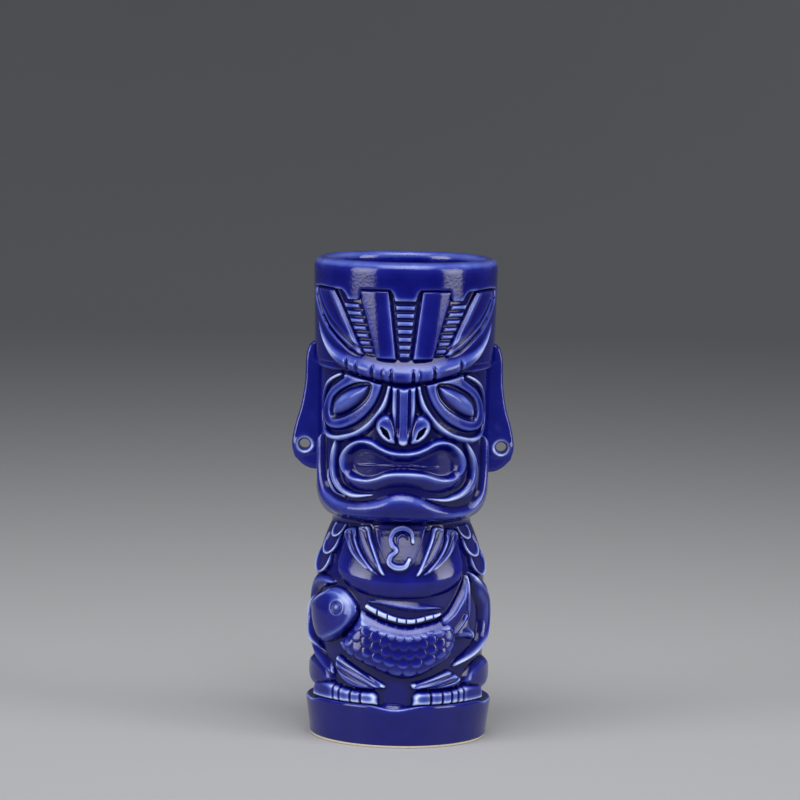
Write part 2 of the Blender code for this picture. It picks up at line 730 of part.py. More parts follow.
def build_collar():
    """Collar of leaves, bib with its hook pendant, and the lei beside them."""
    hook = [(3.3, -2.6, 1.4), (2.9, -0.4, 2.0), (0.2, 0.5, 2.2), (-2.6, -0.3, 2.2),
            (-3.4, -2.8, 2.2), (-2.4, -5.2, 2.2), (-3.2, -8.2, 2.2), (-2.6, -10.8, 2.2),
            (-0.1, -12.0, 2.2), (2.3, -11.0, 2.0), (3.3, -8.8, 1.4)]
    sprig("hook_pendant", strip(COLLAR, hook, RIDGE_ROWS), HOOK_RELIEF,
          lift=BIB_RELIEF + BOND_GAP, trims_others=False)
    sprig("bib", strip(COLLAR, [(0.0, 0.6, 19.0), (0.0, -5.0, 14.6), (0.2, -10.0, 10.6),
                                   (0.4, -13.4, 6.4)], BROAD_ROWS), BIB_RELIEF)
    pair("inner_leaf", COLLAR, [(-14.6, 0.8, 6.0), (-10.4, -6.4, 4.6), (-6.0, -14.2, 1.0)],
         LEAF_RELIEF)
    pair("outer_leaf", COLLAR, [(-23.4, 0.2, 6.0), (-16.0, -7.0, 6.4), (-6.6, -15.0, 1.0)],
         LEAF_RELIEF)
    for name, u, z, width, length in (("upper_lei_drop", -31.0, -0.6, 5.0, 5.0),
                                      ("middle_lei_drop", -33.2, -5.8, 5.4, 6.2),
                                      ("lower_lei_drop", -36.0, -12.4, 6.0, 7.4)):
        pair(name, COLLAR, [(u, z + length / 2, width / 2), (u, z, width),
                               (u, z - length / 2, width / 2)], LEI_RELIEF)


def build_fish_and_belly():
    """The fish held across the belly, with the arms that hold it."""
    sprig("fish_head", strip(BODY, [(-41.6, 30.2, 5.0), (-37.0, 31.0, 13.0),
                                          (-30.0, 31.4, 18.6), (-23.0, 32.0, 18.4),
                                          (-17.2, 31.2, 13.0)], BROAD_ROWS), FISH_RELIEF)
    sprig("fish_body", strip(BODY, [(-19.4, 29.2, 11.0), (-13.0, 25.4, 14.4),
                                          (-6.0, 21.8, 16.4), (1.0, 20.0, 16.6),
                                          (8.4, 20.8, 15.4), (14.0, 23.8, 13.4),
                                          (18.4, 28.4, 11.0)], BROAD_ROWS), FISH_RELIEF)
    sprig("fish_tail", strip(BODY, [(26.0, 45.6, 1.0), (23.6, 38.6, 5.4), (22.6, 31.4, 8.4),
                                          (26.2, 25.4, 7.6), (34.0, 22.8, 1.6)]), FIN_RELIEF)
    spines = [((u * DRAWING_UNIT, PLINTH_TOP), (1.0, 0.0))
              for u in (-7.4, -4.4, -1.0, 2.2, 5.2, 8.2, 11.0)]
    sprig("dorsal_fin", strip(BODY, [(-10.6, 34.8, 2.4), (-4.4, 31.2, 3.0), (2.4, 29.7, 3.0),
                                           (8.4, 30.2, 2.8), (13.6, 32.4, 1.8)], FLAT_ROWS),
          FIN_RELIEF, spines)
    sprig("pelvic_fin", strip(BODY, [(-23.4, 16.8, 2.6), (-18.0, 13.7, 7.2),
                                           (-11.0, 10.4, 6.4), (-4.9, 7.2, 1.2)]), FIN_RELIEF)
    sprig("anal_fin", strip(BODY, [(3.9, 6.8, 1.2), (10.0, 8.4, 4.4), (16.6, 10.2, 6.2),
                                         (22.0, 9.6, 2.0)]), FIN_RELIEF)
    sprig("belly_fold", strip(BODY, [(-12.4, 37.0, 0.8), (-5.0, 36.0, 2.8), (3.0, 34.9, 3.2),
                                           (9.0, 34.5, 2.4), (14.0, 35.0, 0.8)], RIDGE_ROWS),
          FIN_RELIEF)
    sprig("belly", strip(BODY, [(-25.6, 50.4, 8.0), (-18.0, 48.6, 15.0), (0.0, 46.6, 17.6),
                                      (18.0, 48.6, 15.0), (24.8, 50.8, 8.0)], RIDGE_ROWS),
          BELLY_RELIEF)
    sprig("left_arm", strip(BODY, [(-30.0, 45.4, 4.0), (-38.0, 42.0, 6.8), (-44.4, 33.4, 8.0),
                                         (-42.0, 23.0, 7.6), (-34.4, 16.6, 6.0),
                                         (-28.4, 11.6, 2.4)]), ARM_RELIEF)
    sprig("right_arm", strip(BODY, [(31.0, 43.0, 5.6), (38.6, 37.0, 8.4), (41.0, 29.4, 8.2),
                                          (36.4, 22.4, 6.8), (28.6, 17.6, 5.4),
                                          (20.6, 15.0, 2.0)]), ARM_RELIEF)


def build_legs():
    """Feet with their toes on the plinth, and the bent legs behind them."""
    foot = [(-32.0, 4.6, 4.6), (-24.0, 3.9, 5.6), (-14.0, 3.2, 4.6), (-6.4, 2.8, 3.6)]
    toes = (10.2, 14.2, 17.8, 21.4)
    for side, name in ((-1, "left_foot"), (1, "right_foot")):
        lines = [((side * u * DRAWING_UNIT, PLINTH_TOP), (1.0, 0.0)) for u in toes]
        stations = foot if side < 0 else mirrored(foot)
        sprig(name, strip(BODY, stations), LEG_RELIEF, lines)
    pair("leg", BODY, [(-27.6, 9.4, 4.0), (-34.6, 11.4, 8.6), (-42.4, 11.0, 8.4)],
         LEG_RELIEF, ROUND_ROWS)


for old in list(bpy.data.objects):
    bpy.data.objects.remove(old)
parts = new_collection("tiki_mug")
cutters = new_collection("cutters")
laid = []

build_cup()
build_fan()
build_face()
build_ears()
build_collar()
build_fish_and_belly()
build_legs()
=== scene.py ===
"""A glazed tiki mug, dressed over its solids and lit in a plain studio.

Drawings are in millimetres on the unrolled wall: u runs round it from the
middle of the face, and z runs up it from the table.
"""
import math

import bpy
import numpy as np
from mathutils import Matrix, Vector


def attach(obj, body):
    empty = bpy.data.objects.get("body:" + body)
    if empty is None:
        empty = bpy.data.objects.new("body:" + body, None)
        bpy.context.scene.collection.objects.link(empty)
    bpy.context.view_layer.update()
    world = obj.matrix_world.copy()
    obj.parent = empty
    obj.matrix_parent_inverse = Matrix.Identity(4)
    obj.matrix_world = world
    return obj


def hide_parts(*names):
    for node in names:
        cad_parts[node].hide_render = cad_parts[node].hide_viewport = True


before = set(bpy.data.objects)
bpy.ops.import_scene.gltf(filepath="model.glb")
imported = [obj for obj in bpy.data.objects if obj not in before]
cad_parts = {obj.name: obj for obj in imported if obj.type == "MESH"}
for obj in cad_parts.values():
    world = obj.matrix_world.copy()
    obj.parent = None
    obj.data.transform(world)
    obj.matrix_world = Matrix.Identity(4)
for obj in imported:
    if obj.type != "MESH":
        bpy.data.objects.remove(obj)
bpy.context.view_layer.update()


# Cup. One casting in white clay, poured in a plaster mould: a torso, a narrow
# neck and a head, with a filleted floor and a thick rounded lip. Like the rest
# of the figure it is dipped in cobalt glaze.

per_metre = 1000.0
weld = 0.00001
drawn_radius = 31.0
neck_radius, torso_swell, head_swell = 24.2, 5.0, 5.8
shoulder_foot, shoulder_rise = 56.8, 18.5
neck_top, chin_rise = 77.8, 10.2
wall_thickness = 3.0
underside, floor_level = 1.3, 6.3
floor_reach, floor_fillet = 22.2, 4.0
mouth_depth, mouth_edge = 2.2, 1.4


def unit(value):
    """A value held between 0 and 1."""
    return np.clip(value, 0.0, 1.0)


def cast_wall(z):
    """Outside radius of the cast wall at each height."""
    torso = torso_swell * (1.0 - unit((z - shoulder_foot) / shoulder_rise) ** 1.7)
    head = head_swell * np.sqrt(1.0 - (1.0 - unit((z - neck_top) / chin_rise)) ** 2)
    return neck_radius + np.where(z < neck_top, torso, head)


def wall_line(levels, inset=0.0):
    """Profile points along the cast wall, set in from its outside."""
    return [(float(cast_wall(z)) - inset, z) for z in levels]


def deselect():
    """Leave nothing selected, so the next tool acts on its own piece alone."""
    bpy.ops.object.select_all(action="DESELECT")


def points_of(piece):
    """Vertex positions of a piece, in millimetres."""
    places = np.empty(len(piece.data.vertices) * 3)
    piece.data.vertices.foreach_get("co", places)
    return places.reshape(-1, 3) * per_metre


def place_points(piece, places):
    """Put vertices at positions given in millimetres."""
    piece.data.vertices.foreach_set("co", (places / per_metre).ravel())
    piece.data.update()


def unrolled(places):
    """Points as u round the wall, height z and radius."""
    u = drawn_radius * np.arctan2(places[:, 0], -places[:, 1])
    return u, places[:, 2], np.hypot(places[:, 0], places[:, 1])


def rolled(u, z, radius):
    """Points round the axis from u, z and radius."""
    angle = u / drawn_radius
    return np.column_stack((radius * np.sin(angle), -radius * np.cos(angle), z))


def turn(name, profile, steps, closed=False):
    """Spin a profile of (radius, z) points about the axis of the cup."""
    deselect()
    mesh = bpy.data.meshes.new(name)
    ties = [(i, i + 1) for i in range(len(profile) - 1)]
    if closed:
        ties.append((len(profile) - 1, 0))
    mesh.from_pydata([(r / per_metre, 0.0, z / per_metre) for r, z in profile], ties, [])
    piece = bpy.data.objects.new(name, mesh)
    bpy.context.collection.objects.link(piece)
    bpy.context.view_layer.objects.active = piece
    piece.select_set(True)
    bpy.ops.object.mode_set(mode="EDIT")
    bpy.ops.mesh.select_all(action="SELECT")
    bpy.ops.mesh.spin(steps=steps, angle=math.tau, center=(0, 0, 0), axis=(0, 0, 1))
    bpy.ops.mesh.select_all(action="SELECT")
    bpy.ops.mesh.remove_doubles(threshold=weld)
    bpy.ops.mesh.normals_make_consistent(inside=False)
    bpy.ops.object.mode_set(mode="OBJECT")
    bpy.ops.object.shade_smooth()
    return piece


def smooth_line(stations, steps=10):
    """A smooth curve through stations: u, z and any width."""
    points = np.array(stations, float)
    points = np.vstack([2 * points[0] - points[1], points, 2 * points[-1] - points[-2]])
    share = (np.arange(steps) / steps)[:, None]
    line = []
    for a, b, c, d in zip(points, points[1:], points[2:], points[3:]):
        line.append(0.5 * (2 * b + (c - a) * share + (2 * a - 5 * b + 4 * c - d) * share ** 2
                           + (3 * b - a - 3 * c + d) * share ** 3))
    return np.vstack(line + [points[-2:-1]])


def smooth_loop(corners, steps=8):
    """A closed smooth curve through corners."""
    around = list(corners[-2:]) + list(corners) + list(corners[:2])
    line = smooth_line(around, steps)
    return line[2 * steps:-steps]


def follow(u, z, line):
    """Distance to a line, half its width, the run along it, and the side of it."""
    nearest = np.full(u.shape, 1e9)
    half, run, side = np.zeros(u.shape), np.zeros(u.shape), np.zeros(u.shape)
    length = 0.0
    for start, end in zip(line, line[1:]):
        along_u, along_z = end[0] - start[0], end[1] - start[1]
        span = math.hypot(along_u, along_z)
        if span < 1e-6:
            continue
        share = unit(((u - start[0]) * along_u + (z - start[1]) * along_z) / span ** 2)
        off_u = u - start[0] - share * along_u
        off_z = z - start[1] - share * along_z
        distance = np.hypot(off_u, off_z)
        closer = distance < nearest
        nearest = np.where(closer, distance, nearest)
        if len(start) > 2:
            half = np.where(closer, (start[2] + share * (end[2] - start[2])) / 2, half)
        run = np.where(closer, length + share * span, run)
        side = np.where(closer, np.sign(along_u * off_z - along_z * off_u), side)
        length += span
    return nearest, half, run, side


def depth_in(u, z, loop):
    """Distance in from a closed outline, negative outside it."""
    closed = np.vstack([loop, loop[:1]])
    nearest = follow(u, z, closed[:, :2])[0]
    crossings = np.zeros(u.shape, bool)
    for (u0, z0), (u1, z1) in zip(closed[:, :2], closed[1:, :2]):
        if z0 == z1:
            continue
        spans = (z0 > z) != (z1 > z)
        crossings ^= spans & (u < (u1 - u0) * (z - z0) / (z1 - z0) + u0)
    return np.where(crossings, nearest, -nearest)


lip_inner_loop = smooth_loop([
    (0.0, 99.2), (2.6, 99.2), (5.2, 99.8), (8.6, 100.9), (11.5, 102.1), (14.0, 102.7),
    (16.4, 102.2), (17.9, 100.5), (18.2, 98.6), (18.0, 96.7), (16.9, 95.2), (15.0, 94.6),
    (12.6, 94.9), (9.8, 95.9), (6.8, 96.8), (3.4, 97.3), (0.0, 97.4), (-3.3, 97.1), (-6.3, 96.1),
    (-9.0, 94.8), (-11.9, 94.0), (-14.9, 94.2), (-17.1, 95.2), (-18.3, 96.7), (-18.5, 98.5),
    (-18.1, 100.5), (-16.6, 102.0), (-14.3, 102.7), (-11.3, 102.3), (-7.8, 100.9), (-5.0, 99.7),
    (-2.6, 99.2)])

inside_wall = [(r, floor_level) for r in (0.0, 12.0, floor_reach)]
inside_wall += [(floor_reach + floor_fillet * math.sin(a),
                 floor_level + floor_fillet * (1.0 - math.cos(a)))
                for a in np.linspace(0.2, math.pi / 2, 8)]
inside_wall += wall_line([*np.arange(12.0, 77.0, 3.0), *np.arange(neck_top, 90.0, 0.8),
                          *np.arange(92.0, 165.0, 4.0)], wall_thickness)
lip = [(28.9 - 1.9 * math.cos(a), 165.6 + 2.4 * math.sin(a))
       for a in np.linspace(0, math.pi / 2, 8)]
lip += [(29.2, 168.0), (29.5, 167.93), (29.7, 167.80), (29.95, 166.9)]
outside_wall = wall_line([*np.arange(166.4, 132.0, -1.6), *np.arange(132.0, 77.9, -0.6),
                          77.7, 76.6, 75.4, *np.arange(75.0, 14.0, -1.0), 12.0])
outside_wall += [(29.2, underside), (15.0, underside), (0.0, underside)]
cup = turn("cup_casting", inside_wall + lip + outside_wall, 256)

cup_u, cup_z, cup_radius = unrolled(points_of(cup))
mouth = unit((depth_in(cup_u, cup_z, lip_inner_loop) + 1.6) / mouth_edge)
on_outside = cup_radius > cast_wall(cup_z) - 0.5
cup_radius = np.where(on_outside, cup_radius - mouth_depth * mouth, cup_radius)
place_points(cup, rolled(cup_u, cup_z, cup_radius))


def grain(material, scale, detail):
    """Noise that keeps its place on a piece."""
    nodes, links = material.node_tree.nodes, material.node_tree.links
    noise = nodes.new("ShaderNodeTexNoise")
    noise.inputs["Scale"].default_value = scale
    noise.inputs["Detail"].default_value = detail
    links.new(nodes.new("ShaderNodeTexCoord").outputs["Object"], noise.inputs["Vector"])
    return noise.outputs["Fac"]


def roughen(material, height, strength, distance):
    """Bump the skin of a material."""
    nodes, links = material.node_tree.nodes, material.node_tree.links
    bump = nodes.new("ShaderNodeBump")
    bump.inputs["Strength"].default_value = strength
    bump.inputs["Distance"].default_value = distance
    links.new(height, bump.inputs["Height"])
    links.new(bump.outputs["Normal"], nodes["Principled BSDF"].inputs["Normal"])


# The glaze's colour goes by one value: its thickness, from a deep pool to a bare
# ridge, with painted highlights and painted shade added into it on some pieces.
glaze_colours = (
    (0.36, (0.0008, 0.0012, 0.075, 1.0)), (0.50, (0.0018, 0.0026, 0.118, 1.0)),
    (0.60, (0.005, 0.008, 0.185, 1.0)), (0.76, (0.065, 0.095, 0.39, 1.0)))
pool_and_painted_shade_colour, ridge_and_painted_highlight_colour = (0.0004, 0.0006, 0.034, 1.0), (0.46, 0.54, 0.80, 1.0)
cobalt = bpy.data.materials.new("cobalt_glaze")
cobalt.use_nodes = True
nodes, links = cobalt.node_tree.nodes, cobalt.node_tree.links
gloss = nodes["Principled BSDF"]
gloss.inputs["IOR"].default_value = 1.47
thickness_and_painted_light = nodes.new("ShaderNodeAttribute")
thickness_and_painted_light.attribute_name = "glaze"
clouding = grain(cobalt, 160.0, 4.0)
drift = nodes.new("ShaderNodeMath")
drift.operation = "MULTIPLY_ADD"
links.new(clouding, drift.inputs[0])
drift.inputs[1].default_value = 0.16
drift.inputs[2].default_value = -0.08
total = nodes.new("ShaderNodeMath")
total.operation = "ADD"
links.new(thickness_and_painted_light.outputs["Fac"], total.inputs[0])
links.new(drift.outputs[0], total.inputs[1])
glaze_and_light_ramp = nodes.new("ShaderNodeValToRGB")
links.new(total.outputs[0], glaze_and_light_ramp.inputs["Fac"])
stops = glaze_and_light_ramp.color_ramp.elements
stops[0].color, stops[1].color = pool_and_painted_shade_colour, ridge_and_painted_highlight_colour
for position, colour in glaze_colours:
    stops.new(position).color = colour
links.new(glaze_and_light_ramp.outputs["Color"], gloss.inputs["Base Color"])
sheen = nodes.new("ShaderNodeMapRange")
links.new(clouding, sheen.inputs["Value"])
sheen.inputs["To Min"].default_value = 0.06
sheen.inputs["To Max"].default_value = 0.16
links.new(sheen.outputs["Result"], gloss.inputs["Roughness"])
roughen(cobalt, grain(cobalt, 1100.0, 2.0), 0.1, 0.0003)

cup.data.materials.append(cobalt)
glazed = [cup]
carvings = []  # each relief, with the span of wall that it covers
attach(cup, "root")
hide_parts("cup")


# Foot ring. The one place without glaze: the kiln shelf touches here, so the
# rim of the underside is wiped back to bare cream clay and ground flat.

foot_profile = [
    (24.4, 1.6), (24.4, 0.5), (24.9, 0.05), (25.4, 0.0), (27.5, 0.0), (29.6, 0.0), (30.3, 0.1),
    (30.55, 0.4), (30.55, 1.0), (30.2, 1.6)]
foot_ring = turn("foot_ring_clay", foot_profile, 256, closed=True)
clay = bpy.data.materials.new("bare_clay")
clay.use_nodes = True
nodes, links = clay.node_tree.nodes, clay.node_tree.links
matt = nodes["Principled BSDF"]
matt.inputs["Roughness"].default_value = 0.8
grit = grain(clay, 1400.0, 5.0)
body_colour = nodes.new("ShaderNodeValToRGB")
body_colour.color_ramp.elements[0].color = (0.50, 0.42, 0.31, 1.0)
body_colour.color_ramp.elements[1].color = (0.76, 0.69, 0.56, 1.0)
links.new(grit, body_colour.inputs["Fac"])
links.new(body_colour.outputs["Color"], matt.inputs["Base Color"])
roughen(clay, grit, 0.25, 0.0002)
foot_ring.data.materials.append(clay)
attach(foot_ring, "root")
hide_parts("foot_ring")


# Plinth. A plain sleeve of clay round the foot, a little wider at the top. Its
# ledge is built up flush under the feet, and a bead of glaze pools between them.

ledge_top = 13.6


def ease(value):
    """A value held between 0 and 1 that leaves and arrives gently."""
    share = unit(value)
    return share ** 2 * (3.0 - 2.0 * share)


def ledge_lift(u):
    """How far the ledge is built up under the feet."""
    return 1.3 * ease(np.abs(u + 1.2) / 10.0) * ease((38.0 - np.abs(u)) / 8.0)


plinth_profile = [(28.6, 1.2), (30.0, 0.85), (30.5, 0.8), (30.85, 1.1), (30.95, 1.8), (31.02, 3.0)]
plinth_profile += [(31.02 + 1.28 * (z - 3.0) / 9.4, z) for z in np.arange(4.4, 12.4, 1.0)]
plinth_profile += [(31.5 + 0.9 * math.cos(a), 12.9 + 0.9 * math.sin(a))
                   for a in np.linspace(-0.1, math.pi / 2, 9)]
plinth_profile += [(r, ledge_top + 0.2 * max(0.0, r - 30.5)) for r in np.arange(31.3, 28.5, -0.3)]
plinth = turn("plinth_sleeve", plinth_profile, 256, closed=True)
plinth_points = points_of(plinth)
plinth_u, plinth_z, plinth_radius = unrolled(plinth_points)
bead = 1.0 - ((plinth_u + 1.9) / 4.8) ** 2 - ((plinth_radius - 29.2) / 2.4) ** 2
plinth_points[:, 2] += ledge_lift(plinth_u) * unit((plinth_z - 9.0) / 4.5)
plinth_points[:, 2] += np.where(plinth_z > ledge_top - 0.2, 2.0 * np.sqrt(unit(bead)), 0.0)
place_points(plinth, plinth_points)
plinth.data.materials.append(cobalt)
glazed.append(plinth)
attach(plinth, "root")
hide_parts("plinth")


# Headdress. A sleeve of clay luted round the top of the head, rolled over into
# the lip. A notched window is cut in its front, where the feathers stand.

head_radius = neck_radius + head_swell
sleeve_foot = 132.0


def shoulder(depth, height, width):
    """Height of a rounded edge at a depth in from the outline."""
    share = np.minimum(depth / width, 1.0)
    return height * np.where(share > 0.0, 2.0 * share - share ** 2, 2.0 * share)


window_half = [
    (3.7, 154.6), (4.5, 157.2), (5.4, 158.3), (15.4, 158.3), (16.2, 155.6), (17.0, 154.6),
    (21.0, 154.5), (22.4, 156.6), (23.6, 157.6), (29.3, 157.9), (36.0, 158.2), (42.6, 157.6),
    (42.4, 155.2), (40.3, 152.8), (36.4, 148.8), (31.6, 144.6), (27.0, 141.4), (21.0, 137.6),
    (11.0, 133.6), (0.0, 132.0)]
window = np.array(window_half + [(-u, z) for u, z in reversed(window_half[:-1])])


def sleeve_swell(z):
    """How far the sleeve stands out from the head, a little more towards the rim."""
    return 1.22 + 0.78 * unit((z - 133.0) / 31.4)


def window_edge(u, z):
    """Height of the sleeve's rounded edge round its window."""
    return shoulder(0.1 - depth_in(u, z, window), 2.0, 0.8)


def sleeve_relief(u, z):
    """Height of the sleeve over the head wall."""
    lower_edge = shoulder(z - sleeve_foot, 2.4, 1.2)
    return np.minimum(np.minimum(sleeve_swell(z), lower_edge), window_edge(u, z))


sleeve_profile = [(29.4, 133.0), (30.2, 132.1), (30.9, sleeve_foot), (31.2, 132.5)]
sleeve_profile += [(head_radius + sleeve_swell(z), z) for z in np.arange(133.0, 164.4, 0.4)]
sleeve_profile += [(28.9 + 3.1 * math.cos(a), 164.6 + 3.4 * math.sin(a))
                   for a in np.linspace(0.05, 1.38, 14)]
sleeve_profile += [(29.42, 167.2), (29.4, 160.0), (29.4, 150.0), (29.4, 140.0)]
headdress = turn("headdress_sleeve", sleeve_profile, 480, closed=True)
sleeve_u, sleeve_z, sleeve_radius = unrolled(points_of(headdress))
cut_back = np.maximum(head_radius + window_edge(sleeve_u, sleeve_z), 29.5)
sleeve_radius = np.where(sleeve_radius > head_radius + 0.1,
                         np.minimum(sleeve_radius, cut_back), sleeve_radius)
place_points(headdress, rolled(sleeve_u, sleeve_z, sleeve_radius))
headdress.data.materials.append(cobalt)
glazed.append(headdress)
carvings.append(((-97.0, 97.0, 131.0, 168.0), sleeve_relief))
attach(headdress, "root")
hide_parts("headdress")


# Headband. A thick roll of clay laid in a bow under the feathers: its upper
# side slopes back, its lower side is notched, and its ends sweep up the sides.

least_clay = 0.2


def sprig(node, span, relief, step=0.3, floor=-0.35, back=-1.0):
    """Lay a relief piece: a sheet trimmed to its form, raised, and rolled on the wall."""
    left, right, low, high = span

    def on_wall(flat):
        """Where points of the flat sheet come on the wall."""
        return left + (flat[:, 0] + 0.5) * (right - left), low + (flat[:, 1] + 0.5) * (high - low)

    columns = math.ceil((right - left) / step)
    rows = math.ceil((high - low) / step)
    deselect()
    bpy.ops.mesh.primitive_grid_add(x_subdivisions=columns, y_subdivisions=rows, size=1.0)
    piece = bpy.context.object
    piece.name = node + "_relief"
    piece.data.name = piece.name
    flat = points_of(piece) / per_metre
    raised = relief(*on_wall(flat))
    corners = np.empty(len(piece.data.loops), int)
    piece.data.loops.foreach_get("vertex_index", corners)
    corners = corners.reshape(-1, 4)
    middles = flat[corners].mean(axis=1)
    column = np.floor((middles[:, 0] + 0.5) * columns).astype(int)
    row = np.floor((middles[:, 1] + 0.5) * rows).astype(int)
    kept = np.zeros((rows, columns), bool)
    kept[row, column] = raised[corners].max(axis=1) > floor
    for _ in range(20):  # cells that meet only at a corner are bridged
        rising = kept[:-1, :-1] & kept[1:, 1:] & ~kept[:-1, 1:] & ~kept[1:, :-1]
        falling = ~kept[:-1, :-1] & ~kept[1:, 1:] & kept[:-1, 1:] & kept[1:, :-1]
        kept[:-1, 1:] |= rising
        kept[:-1, :-1] |= falling
    bpy.ops.object.mode_set(mode="EDIT")
    bpy.ops.mesh.select_mode(type="FACE")
    bpy.ops.mesh.select_all(action="DESELECT")
    bpy.ops.object.mode_set(mode="OBJECT")
    piece.data.polygons.foreach_set("select", ~kept[row, column])
    bpy.ops.object.mode_set(mode="EDIT")
    bpy.ops.mesh.delete(type="FACE")
    bpy.ops.mesh.select_all(action="SELECT")
    bpy.ops.mesh.extrude_region_move(TRANSFORM_OT_translate={"value": (0.0, 0.0, 1.0)})
    bpy.ops.mesh.select_all(action="SELECT")
    bpy.ops.mesh.normals_make_consistent(inside=False)
    bpy.ops.object.mode_set(mode="OBJECT")
    flat = points_of(piece) / per_metre
    u, z = on_wall(flat)
    height = np.where(flat[:, 2] > 0.5, np.maximum(relief(u, z), back + least_clay), back)
    place_points(piece, rolled(u, z, cast_wall(z) + height))
    bpy.ops.object.shade_smooth()
    piece.data.materials.append(cobalt)
    glazed.append(piece)
    carvings.append((span, relief))
    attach(piece, "root")
    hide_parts(node)


def slope(depth, height, rise=0.85, soft=0.5):
    """Height of a flat slope that rounds over at the top."""
    ramp = rise * depth
    mix = unit(0.5 + (height - ramp) / (2.0 * soft))
    return height * (1.0 - mix) + ramp * mix - soft * mix * (1.0 - mix)


def groove(distance, width):
    """Share of a scored line's depth at a distance from it."""
    return np.exp(-(distance / width) ** 2)


half_band = [
    (0.0, 130.2, 8.8), (10.0, 131.4, 8.6), (20.0, 133.7, 7.8), (27.0, 136.4, 6.4),
    (33.0, 140.8, 4.4), (38.0, 146.4, 2.8), (42.4, 152.4, 1.2)]
band_line = smooth_line([(-u, z, w) for u, z, w in reversed(half_band[1:])] + half_band)
band_notches = (
    (-20.3, 1.0), (-16.4, 0.5), (-10.8, 0.8), (-7.2, 0.3), (-4.3, 0.8), (3.0, 1.0), (5.2, 0.3),
    (10.1, 1.0), (19.9, 1.0))
band_end = np.array([
    (16.0, 129.4), (24.0, 129.5), (36.0, 129.7), (52.0, 130.6), (52.0, 137.0), (40.0, 143.0),
    (30.0, 137.0), (16.0, 133.0)])


def headband_relief(u, z):
    """A roll that slopes back above its crest and is notched below it."""
    distance, half, _, side = follow(u, z, band_line)
    across = side * distance / np.maximum(half, 0.3)
    lower = 1.0 - np.abs(np.minimum(across + 0.2, 0.0) / 0.8) ** 3
    lower = lower * np.minimum(1.2 + half * 0.5, 3.4)
    height = np.minimum(lower, slope(half - side * distance, 3.4, rise=0.78, soft=1.0))
    for place, cut in band_notches:
        height -= 1.3 * cut * groove(u - place, 0.5) * unit((0.35 - across) / 0.5)
    ends = shoulder(depth_in(np.abs(u), z, band_end), 1.15, 1.1)
    return np.maximum(height, ends)


sprig("headband", (-53.0, 53.0, 124.5, 154.5), headband_relief)


# Feathers. Four flat blades stand in the window of the headdress, fanned out
# from the brow, each with bevelled sides; the outer two are scored along.

inner_feather_line = smooth_line([(-11.4, 159.5, 11.6), (-9.0, 148.5, 9.6), (-6.0, 133.0, 7.4)])
outer_feather_loop = np.array([
    (-28.0, 158.0), (-24.4, 153.2), (-20.7, 147.6), (-17.0, 141.6), (-13.6, 135.8), (-16.4, 135.6),
    (-20.4, 137.8), (-26.2, 141.6), (-31.0, 145.0), (-35.8, 149.2), (-39.8, 153.2), (-41.6, 156.4),
    (-41.8, 158.2)])


def pair(node, span, relief, **laying):
    """Lay a relief piece on the left and its mirror image on the right."""
    left, right, low, high = span
    sprig("left_" + node, span, relief, **laying)
    sprig("right_" + node, (-right, -left, low, high), lambda u, z: relief(-u, z), **laying)


def inner_feather(u, z):
    """A blade with bevelled sides and a faint crown."""
    distance, half, _, _ = follow(u, z, inner_feather_line)
    depth = np.minimum(np.minimum(half - distance, 158.6 - z), z - 134.4)
    return shoulder(depth, 1.55, 1.1) + 0.3 * unit(1.0 - (distance / half) ** 2)


def outer_feather(u, z):
    """A curved blade, thick along its inner side, scored beside its outer side."""
    depth = depth_in(u, z, outer_feather_loop)
    height = shoulder(depth, 1.5, 1.2)
    inner_side = follow(u, z, outer_feather_loop[:5])[0]
    outer_side = follow(u, z, outer_feather_loop[5:12])[0]
    height += 0.45 * groove(inner_side - 1.5, 1.2) * (depth > 0.0)
    return height - 0.75 * groove(outer_side - 2.5, 0.5) + 0.2 * groove(outer_side - 3.6, 0.8)


pair("inner_feather", (-18.5, -1.0, 132.5, 159.4), inner_feather)
pair("outer_feather", (-43.0, -13.0, 134.5, 159.0), outer_feather)


# Rungs. Three ladders of short rounded bars, each pressed with its own thin
# backing, fill the gaps between the feathers and narrow towards the brow.

def ladder(top, foot, rung_tops):
    """Rounded bars across a ladder that runs from its top to its foot."""
    line = smooth_line([top, foot])

    def relief(u, z):
        distance, half, _, _ = follow(u, z, line)
        bars = np.full(u.shape, -1.0)
        for level in rung_tops:
            bars = np.maximum(bars, shoulder(1.05 - np.abs(z - level), 1.4, 0.8))
        bars = np.minimum(bars, shoulder(half - 0.3 - distance, 1.35, 0.8))
        plate = shoulder(half + 0.4 - distance, 0.2, 0.5)
        return np.maximum(bars, plate)
    return relief


sprig("middle_rungs", (-4.6, 4.6, 133.0, 156.0),
      ladder((0.0, 155.5, 8.4), (0.0, 133.5, 4.2), [152.5 - 2.7 * k for k in range(7)]), step=0.25)
pair("rungs", (-23.0, -8.0, 134.0, 156.0),
     ladder((-20.8, 155.5, 7.2), (-11.4, 134.5, 4.4), [152.6 - 2.5 * k for k in range(7)]),
     step=0.25)


# Nose. A tall bridge with three ridges, and two round wings pierced by slits,
# pressed in clay and luted on between the eyes, under the headband.

nose_line = smooth_line([
    (0.0, 129.0, 8.8), (0.0, 119.5, 8.8), (0.0, 113.0, 8.0), (0.0, 109.0, 6.4), (0.0, 107.2, 4.6)])
wing_loop = smooth_loop([
    (-1.8, 105.8), (-4.8, 105.4), (-8.0, 107.6), (-10.1, 111.0), (-9.6, 114.3), (-6.8, 116.4),
    (-3.6, 115.6), (-1.6, 111.0)])
slit_line = smooth_line([(-7.1, 111.2, 0.3), (-6.0, 109.7, 1.5), (-4.7, 107.8, 0.3)])


def ridge(u, z, line, height, width):
    """Height of a rounded ridge along a line, with edges of a given width."""
    distance, half, _, _ = follow(u, z, line)
    return shoulder(half - distance, height, width)


def under_band(u, z):
    """Most height a piece may have under the lower edge of the headband."""
    edge = np.interp(np.abs(u), (0.0, 8.0, 20.0, 36.0), (125.8, 126.6, 129.3, 129.7))
    return 0.3 + shoulder(edge - z, 3.4, 2.4)


